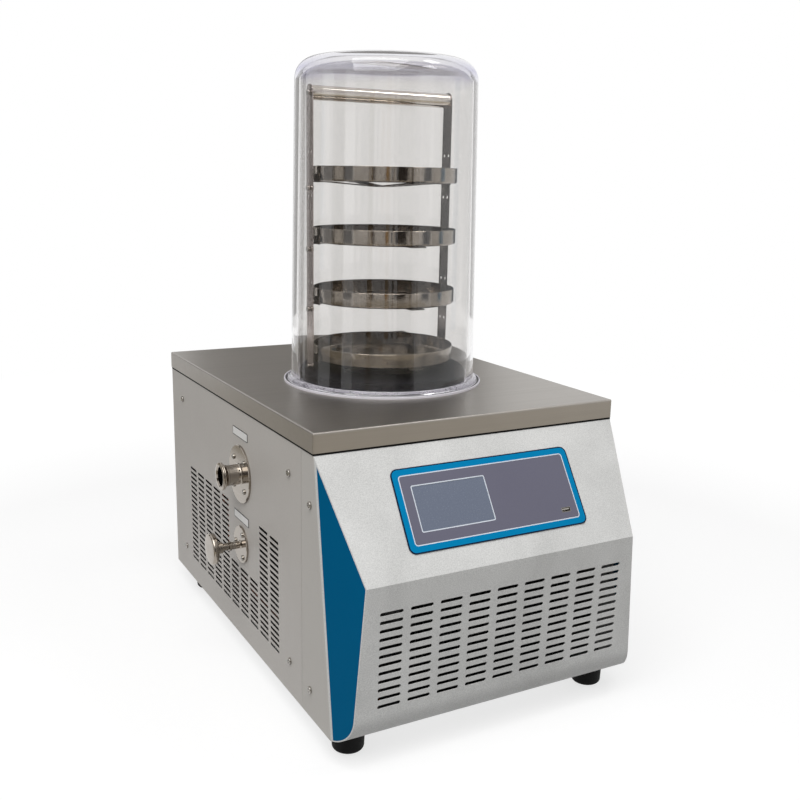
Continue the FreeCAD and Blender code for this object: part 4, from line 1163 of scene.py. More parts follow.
@dataclass
class Cabinet:
    """Sheet-metal cabinet, its worktop, feet and screws.

    Attributes:
        panel_head: Pan head of the panel screws.
        foot_round: Rounding of a foot's lower edge.
        foot_draft: How much narrower the tread is than the seat.
        foot_step: Depth of the moulded step under the seat.
        foot_ledge: Where that step starts and ends, over the foot's height.
        foot_well: Radius and height of the hollow for the bolt's head.
        foot_bore: Radius of the bolt's hole.
        strip_half: Half the width over the black strip under the worktop, which stands for the
            shadow in the gap.
        strip_front: Where the strip's front edge lies.
        strip_tall: Height of the strip.
        strip_wide: Width of the strip.
        strip_corner: Corner radius of the strip.
    """

    panel_head: ScrewHead = field(
        default_factory=lambda: ScrewHead(0.0045, 0.0026, Recess.CROSS, 0.0011)
    )
    foot_round: float = 0.005
    foot_draft: float = 0.002
    foot_step: float = 0.0012
    foot_ledge: tuple[float, float] = (0.86, 0.9)
    foot_well: tuple[float, float] = (0.008, 0.010)
    foot_bore: float = 0.003
    strip_half: float = 0.2144
    strip_front: float = -0.2445
    strip_tall: float = 0.0025
    strip_wide: float = 0.004
    strip_corner: float = 0.001

    def build(self) -> None:
        """Dress the panels and rebuild the small pieces."""
        dress(SIDE_GREY, "left_side_panel", "right_side_panel")
        dress(REAR_GREY, "rear_panel")
        dress(FRONT_GREY, "front_fascia")
        dress(BLUE_PAINT, "left_cheek", "right_cheek")
        dress(STAINLESS, "worktop")
        dress(ZINC, "base_frame", "foot_bolts")
        screws(self.panel_head, None, "fascia_screws", "side_panel_screws")
        screws(self.panel_head, Facing.REAR, "rear_panel_screws")
        self.feet()
        self.shadow_strip()

    def shadow_strip(self) -> None:
        """Thin black strip in the gap under the worktop's rim, put there as painted shadow of the
        gap.
        """
        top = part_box("worktop")[0].z
        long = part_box("rear_panel")[1].y - self.strip_front
        middle = (0.0, self.strip_front + long / 2)
        outlines = [
            rounded_outline(2 * self.strip_half - cut, long - cut, self.strip_corner, middle)
            for cut in (0.0, 2 * self.strip_wide)
        ]
        # A black strip painted as the shadow in the gap under the rim.
        stand_in(sheet_piece("rim_strip", outlines, top - self.strip_tall, top, HERE, RUBBER_BLACK))

    def feet(self) -> None:
        """Rubber feet with a rounded tread and a moulded step."""
        boxes = islands("feet")
        low, high = boxes[0]
        top, height = (high.x - low.x) / 2, high.z - low.z
        tread = fillet(
            (top - self.foot_draft - self.foot_round, self.foot_round), self.foot_round, -90, -6, 6
        )
        well, depth = self.foot_well
        start, end = (height * part for part in self.foot_ledge)
        profile = [(well, 0.0), *tread, (top - self.foot_step, start), (top, end), (top, height)]
        profile += [(self.foot_bore, height), (self.foot_bore, depth), (well, depth)]
        foot = turned("foot", profile, HERE, RUBBER_BLACK, 64, 30.0)
        spots = [Spot(((a.x + b.x) / 2, (a.y + b.y) / 2, a.z), Facing.UP) for a, b in boxes]
        stand_in(SCATTER.scatter("rubber_feet", foot, spots, RUBBER_BLACK), "feet")


# --- control panel ---------------------------------------------------------------------------


@dataclass
class ControlPanel:
    """Printed overlay on the slope, with its border, screen frame and socket.

    Attributes:
        length: Overlay length up the slope.
        thickness: Overlay thickness.
        corner: Corner radius of the overlay.
        rim: Width of the dark edge, painted shade of the overlay's raised edge.
        border: Width of the blue border.
        line: Width of the pale line inside it.
        ease: How much rounder the border's inner corners are than its width alone makes them.
        near: How far behind the overlay a piece still counts as reaching it.
        screen_margin: Gap between the screen's glass and the opening behind the top film.
        screen_corner: Corner radius of that opening.
        screen_view: Left, right, lower and upper edge of what the top film leaves of the screen.
        view_corner: Corner radius of that view.
        frame_corner: Corner radius of the pale frame round it.
        socket_gap: How much larger the socket's opening is than the socket.
        socket_corner: Corner radius of that opening.
        film: Height at which the top film starts.
    """

    length: float = 0.1016
    thickness: float = 0.0012
    corner: float = 0.009
    rim: float = 0.0015
    border: float = 0.0072
    line: float = 0.0012
    ease: float = 0.004
    near: float = 0.0008
    screen_margin: float = 0.0004
    screen_corner: float = 0.0016
    screen_view: tuple[float, float, float, float] = (-0.1034, -0.0044, -0.0266, 0.0276)
    view_corner: float = 0.0012
    frame_corner: float = 0.0022
    socket_gap: float = 0.0004
    socket_corner: float = 0.0006
    film: float = 0.00086

    def place(self) -> tuple[Matrix, float]:
        """Where the slope is.

        Returns:
            The placement of the overlay's own plane, centred on it, and the overlay's width.
        """
        low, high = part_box("control_panel")
        size = high - low
        span = self.length**2 - self.thickness**2
        cosine = (self.length * size.y - self.thickness * size.z) / span
        sine = (self.length * size.z - self.thickness * size.y) / span
        angle = math.atan2(sine, cosine)
        foot = Vector(((low.x + high.x) / 2, low.y + self.thickness * sine, low.z))
        middle = foot + Vector((0.0, cosine, sine)) * self.length / 2
        return Matrix.Translation(middle) @ Matrix.Rotation(angle, 4, "X"), size.x

    def opening(self, node: str, place: Matrix, gap: float, corner: float) -> Profile:
        """Outline of the opening for a CAD node that reaches the overlay.

        Args:
            node: Node name.
            place: The overlay's placement.
            gap: How much wider and longer the opening is than the node.
            corner: Its corner radius.

        Returns:
            The outline on the overlay's plane.
        """
        inverse = place.inverted()
        corners = [inverse @ vert.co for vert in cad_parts[node].data.vertices]
        corners = [found for found in corners if found.z > -self.near]
        left, down = (min(found[axis] for found in corners) for axis in range(2))
        right, up = (max(found[axis] for found in corners) for axis in range(2))
        middle = ((left + right) / 2, (down + up) / 2)
        return rounded_outline(right - left + gap, up - down + gap, corner, middle)

    def build(self) -> None:
        """Cut the overlay's layers and dress what is behind it."""
        place, width = self.place()
        inner = self.rim + self.border
        insets = ((0.0, 0.0), (self.rim, 0.0), (inner, self.ease), (inner + self.line, self.ease))
        outer, second, third, fourth = (
            rounded_outline(width - 2 * inset, self.length - 2 * inset, self.corner - inset + ease)
            for inset, ease in insets
        )
        gap = 2 * self.screen_margin
        opening = self.opening("touch_screen", place, gap, self.screen_corner)
        slot = self.opening("usb_socket", place, self.socket_gap, self.socket_corner)
        left, right, down, up = self.screen_view
        middle = ((left + right) / 2, (down + up) / 2)
        seen, frame_out = (
            rounded_outline(right - left + more, up - down + more, corner, middle)
            for more, corner in ((0.0, self.view_corner), (2 * self.line, self.frame_corner))
        )
        top, film = self.thickness, self.film
        # The dark edge ring is painted shade of the raised overlay.
        edge = sheet_piece("panel_edge", [outer, second], 0.0, top, place, FILM_NAVY_SHADE)
        stand_in(edge, "control_panel")
        layers = (
            ("panel_border", [second, third], 0.0, top, FILM_BLUE),
            ("panel_line", [third, fourth], 0.0, top, FILM_PALE),
            ("panel_backing", [fourth, opening, slot], 0.0, film, FILM_FACE),
            ("panel_face", [fourth, frame_out, slot], film, top, FILM_FACE),
            ("screen_frame", [frame_out, seen], film, top, FILM_PALE),
        )
        for name, outlines, low, high, finish in layers:
            stand_in(sheet_piece(name, outlines, low, high, place, finish))
        dress(SCREEN, "touch_screen")
        dress(SCREW_STEEL, "usb_socket")
        dress(BOARD, "control_board")
        dress(BRASS, "board_standoffs")


# --- ports -----------------------------------------------------------------------------------


@dataclass
class SidePorts:
    """Vacuum port, drain valve and label plates on the left side.

    Attributes:
        head: Slotted head of the ports' screws.
        flange: Thickness of the port flanges.
        flange_edge: Bevel of the vacuum port's flange.
        valve_edge: Bevel of the drain valve's flange and stem.
        bore: Vacuum port bore radius.
        tube: Vacuum port nozzle radius.
        neck: Rounding where the nozzle leaves its flange.
        band: How far the nozzle's band stands out.
        throat: Distance from the nozzle's mouth to the foot of its band, the band's two edges,
            and the start and the round of the lip.
        lip: Vacuum port lip radius.
        lip_cone: How far the lip's slope stops short of that radius.
        lip_round: Rounding of the lip.
        mouth: Bevel of the bore's mouth.
        stem: Drain valve stem radius.
        stem_bore: Radius of the stem's bore.
        stem_root: Bevel where the stem leaves its flange.
        collar: How far the stem's collar stands out.
        collar_span: Foot, lower and upper edge and end of that collar, over the stem's reach.
        spindle: Radius and length of the knob's spindle inside the stem.
        hub: Radius of the hand knob's hub.
        hub_edge: Bevel of the hub's end.
        hub_long: How far the hub reaches past the disc.
        hub_root: Fillet where the hub meets the disc.
        disc: Thickness of the hand knob's disc.
        disc_edge: Rounding of that disc.
        disc_middle: Radius of the disc's middle point over the disc's.
        border: Width of a label plate's border.
        plate_corner: Corner radius of a label plate, outside and inside its border.
    """

    head: ScrewHead = field(default_factory=lambda: ScrewHead(0.0036, 0.0022, Recess.SLOT, 0.0009))
    flange: float = 0.003
    flange_edge: float = 0.0007
    valve_edge: float = 0.0006
    bore: float = 0.013
    tube: float = 0.014
    neck: float = 0.0018
    band: float = 0.0006
    throat: tuple[float, ...] = (0.0105, 0.010, 0.008, 0.0042, 0.0032)
    lip: float = 0.0192
    lip_cone: float = 0.0012
    lip_round: float = 0.001
    mouth: float = 0.0016
    stem: float = 0.0052
    stem_bore: float = 0.0031
    stem_root: float = 0.0015
    collar: float = 0.0012
    collar_span: tuple[float, ...] = (0.55, 0.58, 0.70, 0.73)
    spindle: tuple[float, float] = (0.0029, 0.018)
    hub: float = 0.008
    hub_edge: float = 0.0007
    hub_long: float = 0.010
    hub_root: float = 0.0008
    disc: float = 0.008
    disc_edge: float = 0.0022
    disc_middle: float = 0.5
    border: float = 0.001
    plate_corner: tuple[float, float] = (0.0012, 0.0008)

    def build(self) -> None:
        """Turn the ports and set their screws and plates."""
        self.vacuum_port()
        self.drain_valve()
        self.hand_knob()
        self.labels()
        screws(self.head, Facing.LEFT, "vacuum_port_screws", "drain_valve_screws")

    def vacuum_port(self) -> None:
        """Flanged nozzle with an open bore."""
        low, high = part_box("vacuum_port")
        reach, disc = high.x - low.x, (high.z - low.z) / 2
        edge, root, ring = self.flange_edge, self.tube + self.neck, self.tube + self.band
        lip = self.lip - self.lip_round
        profile = [(self.bore, 0.0), (disc, 0.0), (disc, self.flange - edge)]
        profile += [(disc - edge, self.flange), (root, self.flange)]
        profile += fillet((root, self.flange + self.neck), self.neck, 270, 180, 4)
        foot, band_start, band_end, cone, under = (reach - back for back in self.throat)
        profile += [(self.tube, foot), (ring, band_start), (ring, band_end)]
        profile.append((self.lip - self.lip_cone, cone))
        profile += fillet((lip, under), self.lip_round, -20, 60, 4)
        profile += fillet((lip, reach - self.lip_round), self.lip_round, 0, 90, 4)
        profile += [(self.bore + self.mouth, reach), (self.bore, reach - self.mouth)]
        place = facing(seat(low, high), Facing.LEFT)
        nozzle = turned("vacuum_nozzle", profile, place, POLISHED, 96, 28.0)
        stand_in(nozzle, "vacuum_port")

    def drain_valve(self) -> None:
        """Flanged valve body with its collar."""
        low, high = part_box("drain_valve_body")
        reach, disc = high.x - low.x, (high.z - low.z) / 2
        bore, stem, edge, root = self.stem_bore, self.stem, self.valve_edge, self.stem_root
        foot, start, end, finish = (reach * part for part in self.collar_span)
        collar = stem + self.collar
        profile = [(bore, 0.0), (disc, 0.0), (disc, self.flange - edge)]
        profile += [(disc - edge, self.flange), (stem + root, self.flange)]
        profile += [(stem, self.flange + root), (stem, foot), (collar, start), (collar, end)]
        profile += [(stem, finish), (stem, reach - edge), (stem - edge, reach), (bore, reach)]
        place = facing(seat(low, high), Facing.LEFT)
        body = turned("drain_valve_stem", profile, place, POLISHED, 72, 28.0)
        stand_in(body, "drain_valve_body")

    def hand_knob(self) -> None:
        """Thin round hand knob that turns on the drain valve."""
        low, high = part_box("drain_valve_knob")
        centre = seat(*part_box("drain_valve_body"))
        radius = (high.z - low.z) / 2
        face = self.disc + self.hub_long
        back = face - self.disc
        edge, hub = self.disc_edge, self.hub
        spindle, deep = self.spindle
        profile = [(0.0, -deep), (spindle, -deep), (spindle, 0.0)]
        profile += [(hub - self.hub_edge, 0.0), (hub, self.hub_edge), (hub, back - self.hub_root)]
        profile += [(hub + self.hub_root, back), (radius - edge, back)]
        profile += fillet((radius - edge, back + edge), edge, -84, 0, 6)
        profile += fillet((radius - edge, face - edge), edge, 0, 90, 6)
        profile += [(radius * self.disc_middle, face), (0.0, face)]
        place = facing(Vector((low.x + face, centre.y, centre.z)), Facing.LEFT)
        knob = turned("drain_valve_hand_knob", profile, place, POLISHED, 96, 28.0)
        stand_in(knob, "drain_valve_knob", body="valve_knob")

    def labels(self) -> None:
        """Bare plates with a thin border above each port."""
        upright_left = Matrix.Rotation(math.radians(-90), 4, "Z")
        upright_left @= Matrix.Rotation(math.radians(90), 4, "X")
        for index, (low, high) in enumerate(islands("port_label_plates")):
            place = Matrix.Translation(seat(low, high)) @ upright_left
            wide, tall, thick = high.y - low.y, high.z - low.z, high.x - low.x
            outer, inner = (
                rounded_outline(wide - 2 * cut, tall - 2 * cut, corner)
                for cut, corner in zip((0.0, self.border), self.plate_corner)
            )
            number = index + 1
            border = [outer, inner]
            stand_in(sheet_piece(f"label_border_{number}", border, 0.0, thick, place, LABEL_EDGE))
            plate = sheet_piece(f"label_plate_{number}", [inner], 0.0, thick, place, LABEL)
            stand_in(plate, *(("port_label_plates",) if index == 0 else ()))


# --- jar, seal and rack ----------------------------------------------------------------------


@dataclass
class BellJar:
    """Clear bell jar, its seal ring and the black cover of the trap.

    Attributes:
        base: Outer radius above the foot.
        top: Outer radius at the shoulder, before draft is taken off.
        wall: Wall thickness.
        crown: Thickness of the top.
        rise: How far the top is domed.
        flatness: How much of that rise the dome's rings follow.
        shoulder: Outer shoulder radius.
        inner_shoulder: Inner shoulder radius.
        foot: Height of the foot.
        foot_edge: Rounding of the foot's lower edge.
        foot_bead: Rounding of the foot's upper edge.
        neck: Rounding between the foot and the wall.
        neck_lift: How far above the foot that rounding's middle is raised.
        inner_edge: Bevel of the wall's inner edge at the foot.
        lip: Width of the seal's raised lip.
        seal_bore: Inner radius of the seal.
        seal_floor: Thickness of the seal under the jar.
        seal_edge: Bevel of the seal's edges.
        cover_bore: Radius of the trap cover's opening.
        cover_round: Rounding of the trap cover's edges.
    """

    WALL_STEPS = (0.25, 0.5, 0.75)
    CROWN_STEPS = (0.85, 0.7, 0.55, 0.4, 0.25, 0.1)

    base: float = 0.129
    top: float = 0.1227
    wall: float = 0.007
    crown: float = 0.014
    rise: float = 0.004
    flatness: float = 0.98
    shoulder: float = 0.028
    inner_shoulder: float = 0.020
    foot: float = 0.0045
    foot_edge: float = 0.001
    foot_bead: float = 0.002
    neck: float = 0.0025
    neck_lift: float = 0.0005
    inner_edge: float = 0.0006
    lip: float = 0.0018
    seal_bore: float = 0.115
    seal_floor: float = 0.002
    seal_edge: float = 0.0008
    cover_bore: float = 0.060
    cover_round: float = 0.002

    def build(self) -> None:
        """Turn the jar, the seal and the cover."""
        self.jar()
        self.seal()
        self.cover()

    def jar(self) -> None:
        """The jar's shell, its outside and its inside in one outline."""
        place, foot, tall = upright("bell_jar")
        draft = (self.base - self.top) / tall
        outer_z = tall - self.rise - self.shoulder
        outer_r = self.base - draft * outer_z
        inner_z = tall - self.crown - self.inner_shoulder
        inner_r = self.base - draft * inner_z - self.wall
        neck = self.foot + self.neck
        rim = outer_r - self.shoulder
        edge, bead = self.foot_edge, self.foot_bead

        profile = [(self.base - self.wall + self.inner_edge, 0.0), (foot - edge, 0.0)]
        profile += fillet((foot - edge, edge), edge, -90, 0, 3)[1:]
        profile += fillet((foot - bead, self.foot - bead), bead, 0, 75, 4)
        bend = (self.base + self.neck, neck + self.neck_lift)
        profile += fillet(bend, self.neck, 250, 182, 4)
        for part in self.WALL_STEPS:
            height = neck + (outer_z - neck) * part
            profile.append((self.base - draft * height, height))
        profile += fillet((rim, outer_z), self.shoulder, 0, 86, 18)
        for part in self.CROWN_STEPS:
            drop = self.rise * part**2 * self.flatness
            profile.append((rim * part, tall - drop))
        profile += [(0.0, tall), (0.0, tall - self.crown)]
        profile += fillet((inner_r - self.inner_shoulder, inner_z), self.inner_shoulder, 90, 0, 14)
        for part in self.WALL_STEPS:
            profile.append((inner_r + draft * inner_z * part, inner_z * (1 - part)))
        profile.append((self.base - self.wall, self.inner_edge))

        jar = turned("clear_bell_jar", profile, place, ACRYLIC, 192, 40.0)
        stand_in(jar, "bell_jar")

    def seal(self) -> None:
        """White ring with its raised outer lip."""
        place, outer, tall = upright("seal_ring")
        inner, floor, edge = self.seal_bore, self.seal_floor, self.seal_edge
        half, groove = self.lip / 2, outer - self.lip
        profile = [(inner, 0.0), (outer, 0.0), (outer, tall - half)]
        profile += fillet((outer - half, tall - half), half, 0, 180, 8)[1:]
        profile += [(groove, floor + edge), (groove - edge, floor)]
        profile += [(inner + edge, floor), (inner, floor - edge)]
        stand_in(turned("silicone_seal", profile, place, SILICONE, 160, 32.0), "seal_ring")

    def cover(self) -> None:
        """Black disc over the trap, with its opening."""
        place, outer, tall = upright("trap_cover")
        inner, edge = self.cover_bore, self.cover_round
        profile = [(inner, 0.0), (outer, 0.0)]
        profile += fillet((outer - edge, tall - edge), edge, 0, 90, 4)
        profile += fillet((inner + edge, tall - edge), edge, 90, 180, 4)
        stand_in(turned("black_trap_disc", profile, place, COVER_BLACK, 128, 32.0), "trap_cover")


@dataclass
class DryingRack:
    """Lift-out rack with its trays.

    Attributes:
        trays: Number of trays.
        wall: Tray wall thickness.
        corner: Tray bottom radius.
        rim_out: Width and height of the bevel outside a tray's rim.
        rim_in: Width and height of the bevel inside it.
        strip: Thickness of the uprights.
        hole: Radius of the uprights' spare holes.
        hole_rows: Pairs of holes in an upright.
        hole_first: Height of the lowest pair.
        hole_pitch: Distance from pair to pair.
        hole_apart: Distance between the two holes of a pair.
    """

    trays: int = 4
    wall: float = 0.001
    corner: float = 0.003
    rim_out: tuple[float, float] = (0.0003, 0.0004)
    rim_in: tuple[float, float] = (0.0002, 0.0003)
    strip: float = 0.0012
    hole: float = 0.0023
    hole_rows: int = 6
    hole_first: float = 0.0085
    hole_pitch: float = 0.0575
    hole_apart: float = 0.011

    def build(self) -> None:
        """Dress the frame, cut the uprights and turn the trays."""
        # The left strip wears a lighter copy of the steel as painted light.
        self.post("left_post", STAINLESS_LEFT_LIT)
        self.post("right_post", STAINLESS_UP)
        for level in range(1, self.trays + 1):
            # The shelf arms wear a darker copy of the steel as painted shade.
            dress(SHELF_STEEL_SHADED, f"shelf_support_{level}")
            self.tray(level)
        # The handle wears a lighter copy of the polished steel as painted light.
        dress(HANDLE_STEEL_LIT, "handle_bar")
        dress(SCREW_STEEL, "handle_screws", "shelf_screws")

    def post(self, node: str, finish: Finish) -> None:
        """One upright strip with a round top and pairs of spare holes.

        Args:
            node: CAD node of the strip.
            finish: What it is dressed in.
        """
        low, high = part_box(node)
        half, tall = (high.y - low.y) / 2, high.z - low.z
        outlines = [[(-half, 0.0), (half, 0.0), *fillet((0.0, tall - half), half, 0, 180, 16)]]
        for row in range(self.hole_rows):
            height = self.hole_first + row * self.hole_pitch
            for side in (-1, 1):
                middle = (side * self.hole_apart / 2, height)
                outlines.append(fillet(middle, self.hole, 0, 345, 23))
        inner = low.x if low.x > 0 else high.x - self.strip
        stood_up = Matrix(
            ((0, 0, 1, inner), (1, 0, 0, (low.y + high.y) / 2), (0, 1, 0, low.z), (0, 0, 0, 1))
        )
        strip = sheet_piece(f"{node}_strip", outlines, 0.0, self.strip, stood_up, finish)
        stand_in(strip, node)

    def tray(self, level: int) -> None:
        """One shallow round tray with a folded rim.

        Args:
            level: Tray number from the bottom.
        """
        low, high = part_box(f"tray_{level}")
        radius, tall = (high.x - low.x) / 2, high.z - low.z
        corner, inner = (radius - self.corner, self.corner), radius - self.wall
        profile = [(0.0, 0.0), *fillet(corner, self.corner, -90, 0, 6)]
        profile += [(radius, tall - self.rim_out[1]), (radius - self.rim_out[0], tall)]
        profile += [(inner + self.rim_in[0], tall), (inner, tall - self.rim_in[1])]
        profile += fillet(corner, self.corner - self.wall, 0, -90, 6)
        profile.append((0.0, self.wall))
        place = Matrix.Translation(((low.x + high.x) / 2, (low.y + high.y) / 2, low.z))
        tray = turned(f"round_tray_{level}", profile, place, STAINLESS_ROUND, 160, 32.0)
        stand_in(tray, f"tray_{level}")


# --- works -----------------------------------------------------------------------------------


class Works:
    """What the cabinet holds, and the sockets at its rear."""

    FINISHES = (
        (STAINLESS, ("cold_trap", "vacuum_pipe", "drain_pipe")),
        (COPPER, ("evaporator_coil", "refrigerant_lines", "filter_drier")),
        (FOAM_SKIN, ("trap_insulation",)),
        (BLACK_ENAMEL, ("compressor", "condenser", "fan_shroud", "fan_motor")),
        (RUBBER_BLACK, ("compressor_grommets",)),
        (ZINC, ("compressor_bolts",)),
        (MOULDED_BLACK, ("fan_rotor", "mains_inlet", "pump_outlet")),
        (MOULDED_BLACK, ("power_switch_frame", "power_switch_rocker")),
        (ALUMINIUM, ("power_supply",)),
    )

    def build(self) -> None:
        """Dress every inner piece."""
        for finish, nodes in self.FINISHES:
            dress(finish, *nodes)


# --- studio ----------------------------------------------------------------------------------


class Mirror(Enum):
    """Which reflections show a studio card."""

    ALL = "all"
    STRAIGHT = "straight"
    THROUGH = "through"


@dataclass(frozen=True)
class Card:
    """A dark studio card that only reflections show, so that polished metal mirrors something.

    Attributes:
        name: Object name.
        place: Its middle.
        size: Size across and up.
        colour: How bright it looks in a reflection.
        shows: Which reflections show it.
        aim: What it faces.
    """

    name: str
    place: Point
    size: tuple[float, float]
    colour: Colour
    shows: Mirror = Mirror.ALL
    aim: Point = (0.0, 0.0, 0.5)

    def build(self) -> None:
        """Hang the card."""
        work = bmesh.new()
        bmesh.ops.create_grid(work, x_segments=1, y_segments=1, size=0.5)
        turn = (Vector(self.aim) - Vector(self.place)).to_track_quat("Z", "Y").to_matrix()
        place = Matrix.Translation(self.place) @ turn.to_4x4()
        place @= Matrix.Diagonal((*self.size, 1.0, 1.0))
        bmesh.ops.transform(work, matrix=place, verts=work.verts)
        mesh = poured(self.name, work)
        mesh.materials.append(self.paper())
        card = link(self.name, mesh)
        card.visible_camera = False
        card.visible_diffuse = False
        card.visible_shadow = False

    def paper(self) -> bpy.types.Material:
        """What the card is made of.

        Returns:
            A material that is clear to every ray but the reflections that show the card.
        """
        material = bpy.data.materials.new(self.name)
        board = NodeBoard.on(material)
        path = board.add("ShaderNodeLightPath").outputs
        mirrored = board.math("GREATER_THAN", path["Glossy Depth"], 0.5)
        if self.shows is not Mirror.ALL:
            way = "GREATER_THAN" if self.shows is Mirror.THROUGH else "LESS_THAN"
            in_glass = board.math(way, path["Transmission Depth"], 0.5)
            mirrored = board.math("MULTIPLY", mirrored, in_glass)
        gone = board.add("ShaderNodeBsdfTransparent").outputs[0]
        colour = {"Color": (*self.colour, 1.0), "Strength": 1.0}
        paper = board.add("ShaderNodeEmission", colour).outputs[0]
        both = board.add("ShaderNodeMixShader", {0: mirrored, 1: gone, 2: paper})
        board.add("ShaderNodeOutputMaterial", {"Surface": both.outputs[0]})
        material.cycles.emission_sampling = "NONE"
        return material


@dataclass
class Studio:
    """Floor, lamps, sky and camera.

    Attributes:
        eye: Camera position.
        yaw: Camera heading from +Y towards +X, in degrees.
        pitch: Downward tilt in degrees.
        roll: Clockwise roll in degrees.
        lens: Focal length for a 36 mm sensor.
        floor_radius: Radius of the floor.
        floor_near: Radius inside which the floor is darkest to the light.
        floor_far: Radius beyond which it takes no light at all.
        floor_grey: What the near floor gives back of the light.
        floor_dip: How much less white the near floor looks to the eye.
        sky_light: Strength of the sky as a light.
    """

    eye: Point = (-0.6384, -1.2146, 0.6630)
    yaw: float = 28.82
    pitch: float = 12.71
    roll: float = 1.12
    lens: float = 43.97
    floor_radius: float = 6.0
    floor_near: float = 0.9
    floor_far: float = 2.2
    floor_grey: float = 0.34
    floor_dip: float = 0.3
    sky_light: float = 0.35

    WHITE = (1.0, 1.0, 1.0, 1.0)
    CARDS = (
        Card(
            "rear_card", (1.17, 2.66, 0.8), (1.32, 2.3), (0.235, 0.226, 0.215),
            aim=(0.0, 0.0, 0.385),
        ),
        Card(
            "bench_card", (-0.2, -1.5, 0.006), (3.6, 2.0), (0.66, 0.61, 0.52),
            aim=(-0.2, -1.5, 1.0),
        ),
        Card(
            "front_wide_card", (-1.35, -2.65, 0.7), (4.6, 1.9), (0.26, 0.25, 0.25),
            Mirror.STRAIGHT,
        ),
        Card(
            "rear_inner_card", (1.2, 2.3, 0.9), (4.0, 2.2), (0.20, 0.19, 0.18),
            Mirror.THROUGH, (0.0, 0.0, 0.6),
        ),
        Card(
            "bench_left_card", (-1.5, 0.7, 0.006), (1.9, 2.2), (0.40, 0.365, 0.30),
            aim=(-1.5, 0.7, 1.0),
        ),
        Card("front_card", (-0.1, -3.0, 0.7), (1.0, 1.4), (0.05, 0.045, 0.04)),
        Card("left_card", (-2.8, -0.2, 0.8), (0.8, 1.7), (0.10, 0.085, 0.07)),
        Card("left_rear_card", (-2.3, 1.6, 0.8), (1.3, 1.7), (0.24, 0.22, 0.20)),
        Card("front_left_card", (-2.1, -2.1, 0.7), (0.3, 1.5), (0.16, 0.11, 0.06)),
        Card(
            "front_gold_card", (-1.2, -2.7, 0.7), (0.25, 1.5), (0.50, 0.29, 0.09), Mirror.THROUGH
        ),
        Card(
            "front_thin_card", (-0.85, -2.9, 0.7), (0.12, 1.5), (0.05, 0.05, 0.06), Mirror.THROUGH
        ),
        Card(
            "front_pair_card", (0.75, -2.95, 0.7), (0.15, 1.5), (0.12, 0.09, 0.06), Mirror.THROUGH
        ),
        Card(
            "front_right_card", (1.9, -2.2, 0.7), (0.7, 1.5), (0.06, 0.06, 0.07), Mirror.THROUGH
        ),
        Card(
            "right_blue_card", (2.8, -0.9, 0.7), (0.5, 1.5), (0.20, 0.36, 0.54), Mirror.THROUGH
        ),
        Card("rear_left_card", (-1.5, 2.6, 0.9), (0.7, 1.8), (0.08, 0.075, 0.075)),
    )

    def build(self) -> None:
        """Set everything round the object."""
        self.camera()
        self.floor()
        self.sky()
        self.lamp("top_softbox", (-0.9, -1.0, 2.4), (0.0, -0.1, 0.3), 2.0, 46.0)
        self.lamp("glint_lamp", (1.05, -0.75, 2.5), (0.0, 0.0, 0.6), 0.5, 5.0)
        for card in self.CARDS:
            card.build()
        bpy.context.scene.view_settings.view_transform = "Standard"

    def camera(self) -> None:
        """The camera at the viewing angle."""
        yaw, pitch, roll = (math.radians(value) for value in (self.yaw, self.pitch, self.roll))
        level = math.cos(pitch)
        forward = Vector((math.sin(yaw) * level, math.cos(yaw) * level, -math.sin(pitch)))
        right = Vector((math.cos(yaw), -math.sin(yaw), 0.0))
        up = right.cross(forward)
        side = right * math.cos(roll) + up * math.sin(roll)
        over = up * math.cos(roll) - right * math.sin(roll)
        data = bpy.data.cameras.new("studio_camera")
        data.lens = self.lens
        data.sensor_width = 36.0
        data.clip_start = 0.01
        data.clip_end = 50.0
        camera = link("studio_camera", data)
        turn = Matrix((side, over, -forward)).transposed().to_4x4()
        camera.matrix_world = Matrix.Translation(self.eye) @ turn
        bpy.context.scene.camera = camera

    def seen(self, board: NodeBoard) -> Socket:
        """What the eye meets, straight, mirrored or through glass.

        Args:
            board: The board of the material or world.

        Returns:
            1 for such rays and 0 for the light that falls on paint.
        """
        path = board.add("ShaderNodeLightPath").outputs
        bent = board.math("MAXIMUM", path["Is Glossy Ray"], path["Is Transmission Ray"])
        return board.math("MAXIMUM", path["Is Camera Ray"], bent)

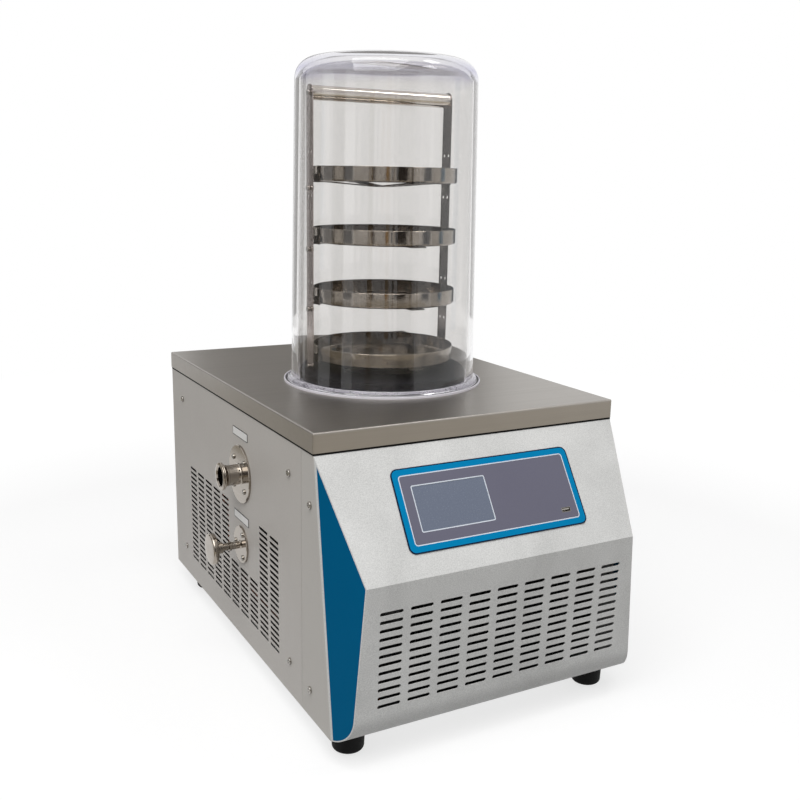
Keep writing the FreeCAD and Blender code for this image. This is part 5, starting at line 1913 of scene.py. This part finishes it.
    def floor(self) -> None:
        """A pale floor that reads as white and keeps the shadow."""
        work = bmesh.new()
        bmesh.ops.create_circle(work, cap_ends=True, segments=96, radius=self.floor_radius)
        mesh = poured("floor", work)
        floor = link("floor", mesh)
        material = bpy.data.materials.new("pale floor")
        board = NodeBoard.on(material)
        place = board.place()
        reach = board.add("ShaderNodeVectorMath", {0: place}, operation="LENGTH").outputs["Value"]
        near = board.ramp(reach, self.floor_near, self.floor_far, 1.0, 0.0)
        weave = board.math("MULTIPLY", board.noise(place, 90.0, 2.0), 0.02)
        cloth = board.math("MULTIPLY", near, board.math("ADD", self.floor_grey, weave))
        grey = board.add("ShaderNodeCombineXYZ", {0: cloth, 1: cloth, 2: cloth})
        matt = board.add("ShaderNodeBsdfDiffuse", {"Color": grey.outputs[0]})
        dip = board.math("MULTIPLY", board.math("MULTIPLY", near, near), self.floor_dip)
        light = board.math("MULTIPLY", self.seen(board), board.math("SUBTRACT", 1.0, dip))
        glow = board.add("ShaderNodeEmission", {"Color": self.WHITE, "Strength": light})
        both = board.add("ShaderNodeAddShader", {0: matt.outputs[0], 1: glow.outputs[0]})
        board.add("ShaderNodeOutputMaterial", {"Surface": both.outputs[0]})
        mesh.materials.append(material)

    def sky(self) -> None:
        """White all round to the eye, dimmer as a light."""
        world = bpy.data.worlds.new("studio")
        bpy.context.scene.world = world
        board = NodeBoard.on(world)
        shown = board.math("MULTIPLY", self.seen(board), 1.0 - self.sky_light)
        strength = board.math("ADD", shown, self.sky_light)
        sky = board.add("ShaderNodeBackground", {"Color": self.WHITE, "Strength": strength})
        board.add("ShaderNodeOutputWorld", {"Surface": sky.outputs[0]})

    def lamp(self, name: str, place: Point, aim: Point, size: float, power: float) -> None:
        """One square softbox.

        Args:
            name: Lamp name.
            place: Where it hangs.
            aim: What it points at.
            size: Side of the square.
            power: Power in watts.
        """
        data = bpy.data.lights.new(name, "AREA")
        data.shape = "SQUARE"
        data.size = size
        data.energy = power
        lamp = link(name, data)
        lamp.location = place
        lamp.rotation_euler = (Vector(aim) - Vector(place)).to_track_quat("-Z", "Y").to_euler()


def main() -> None:
    """Build the dryer's looks and the studio round it."""
    logging.basicConfig(level=logging.INFO, format="%(message)s")
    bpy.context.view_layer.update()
    for part in (Cabinet, ControlPanel, SidePorts, BellJar, DryingRack, Works, Studio):
        part().build()


if __name__ == "__main__":
    main()
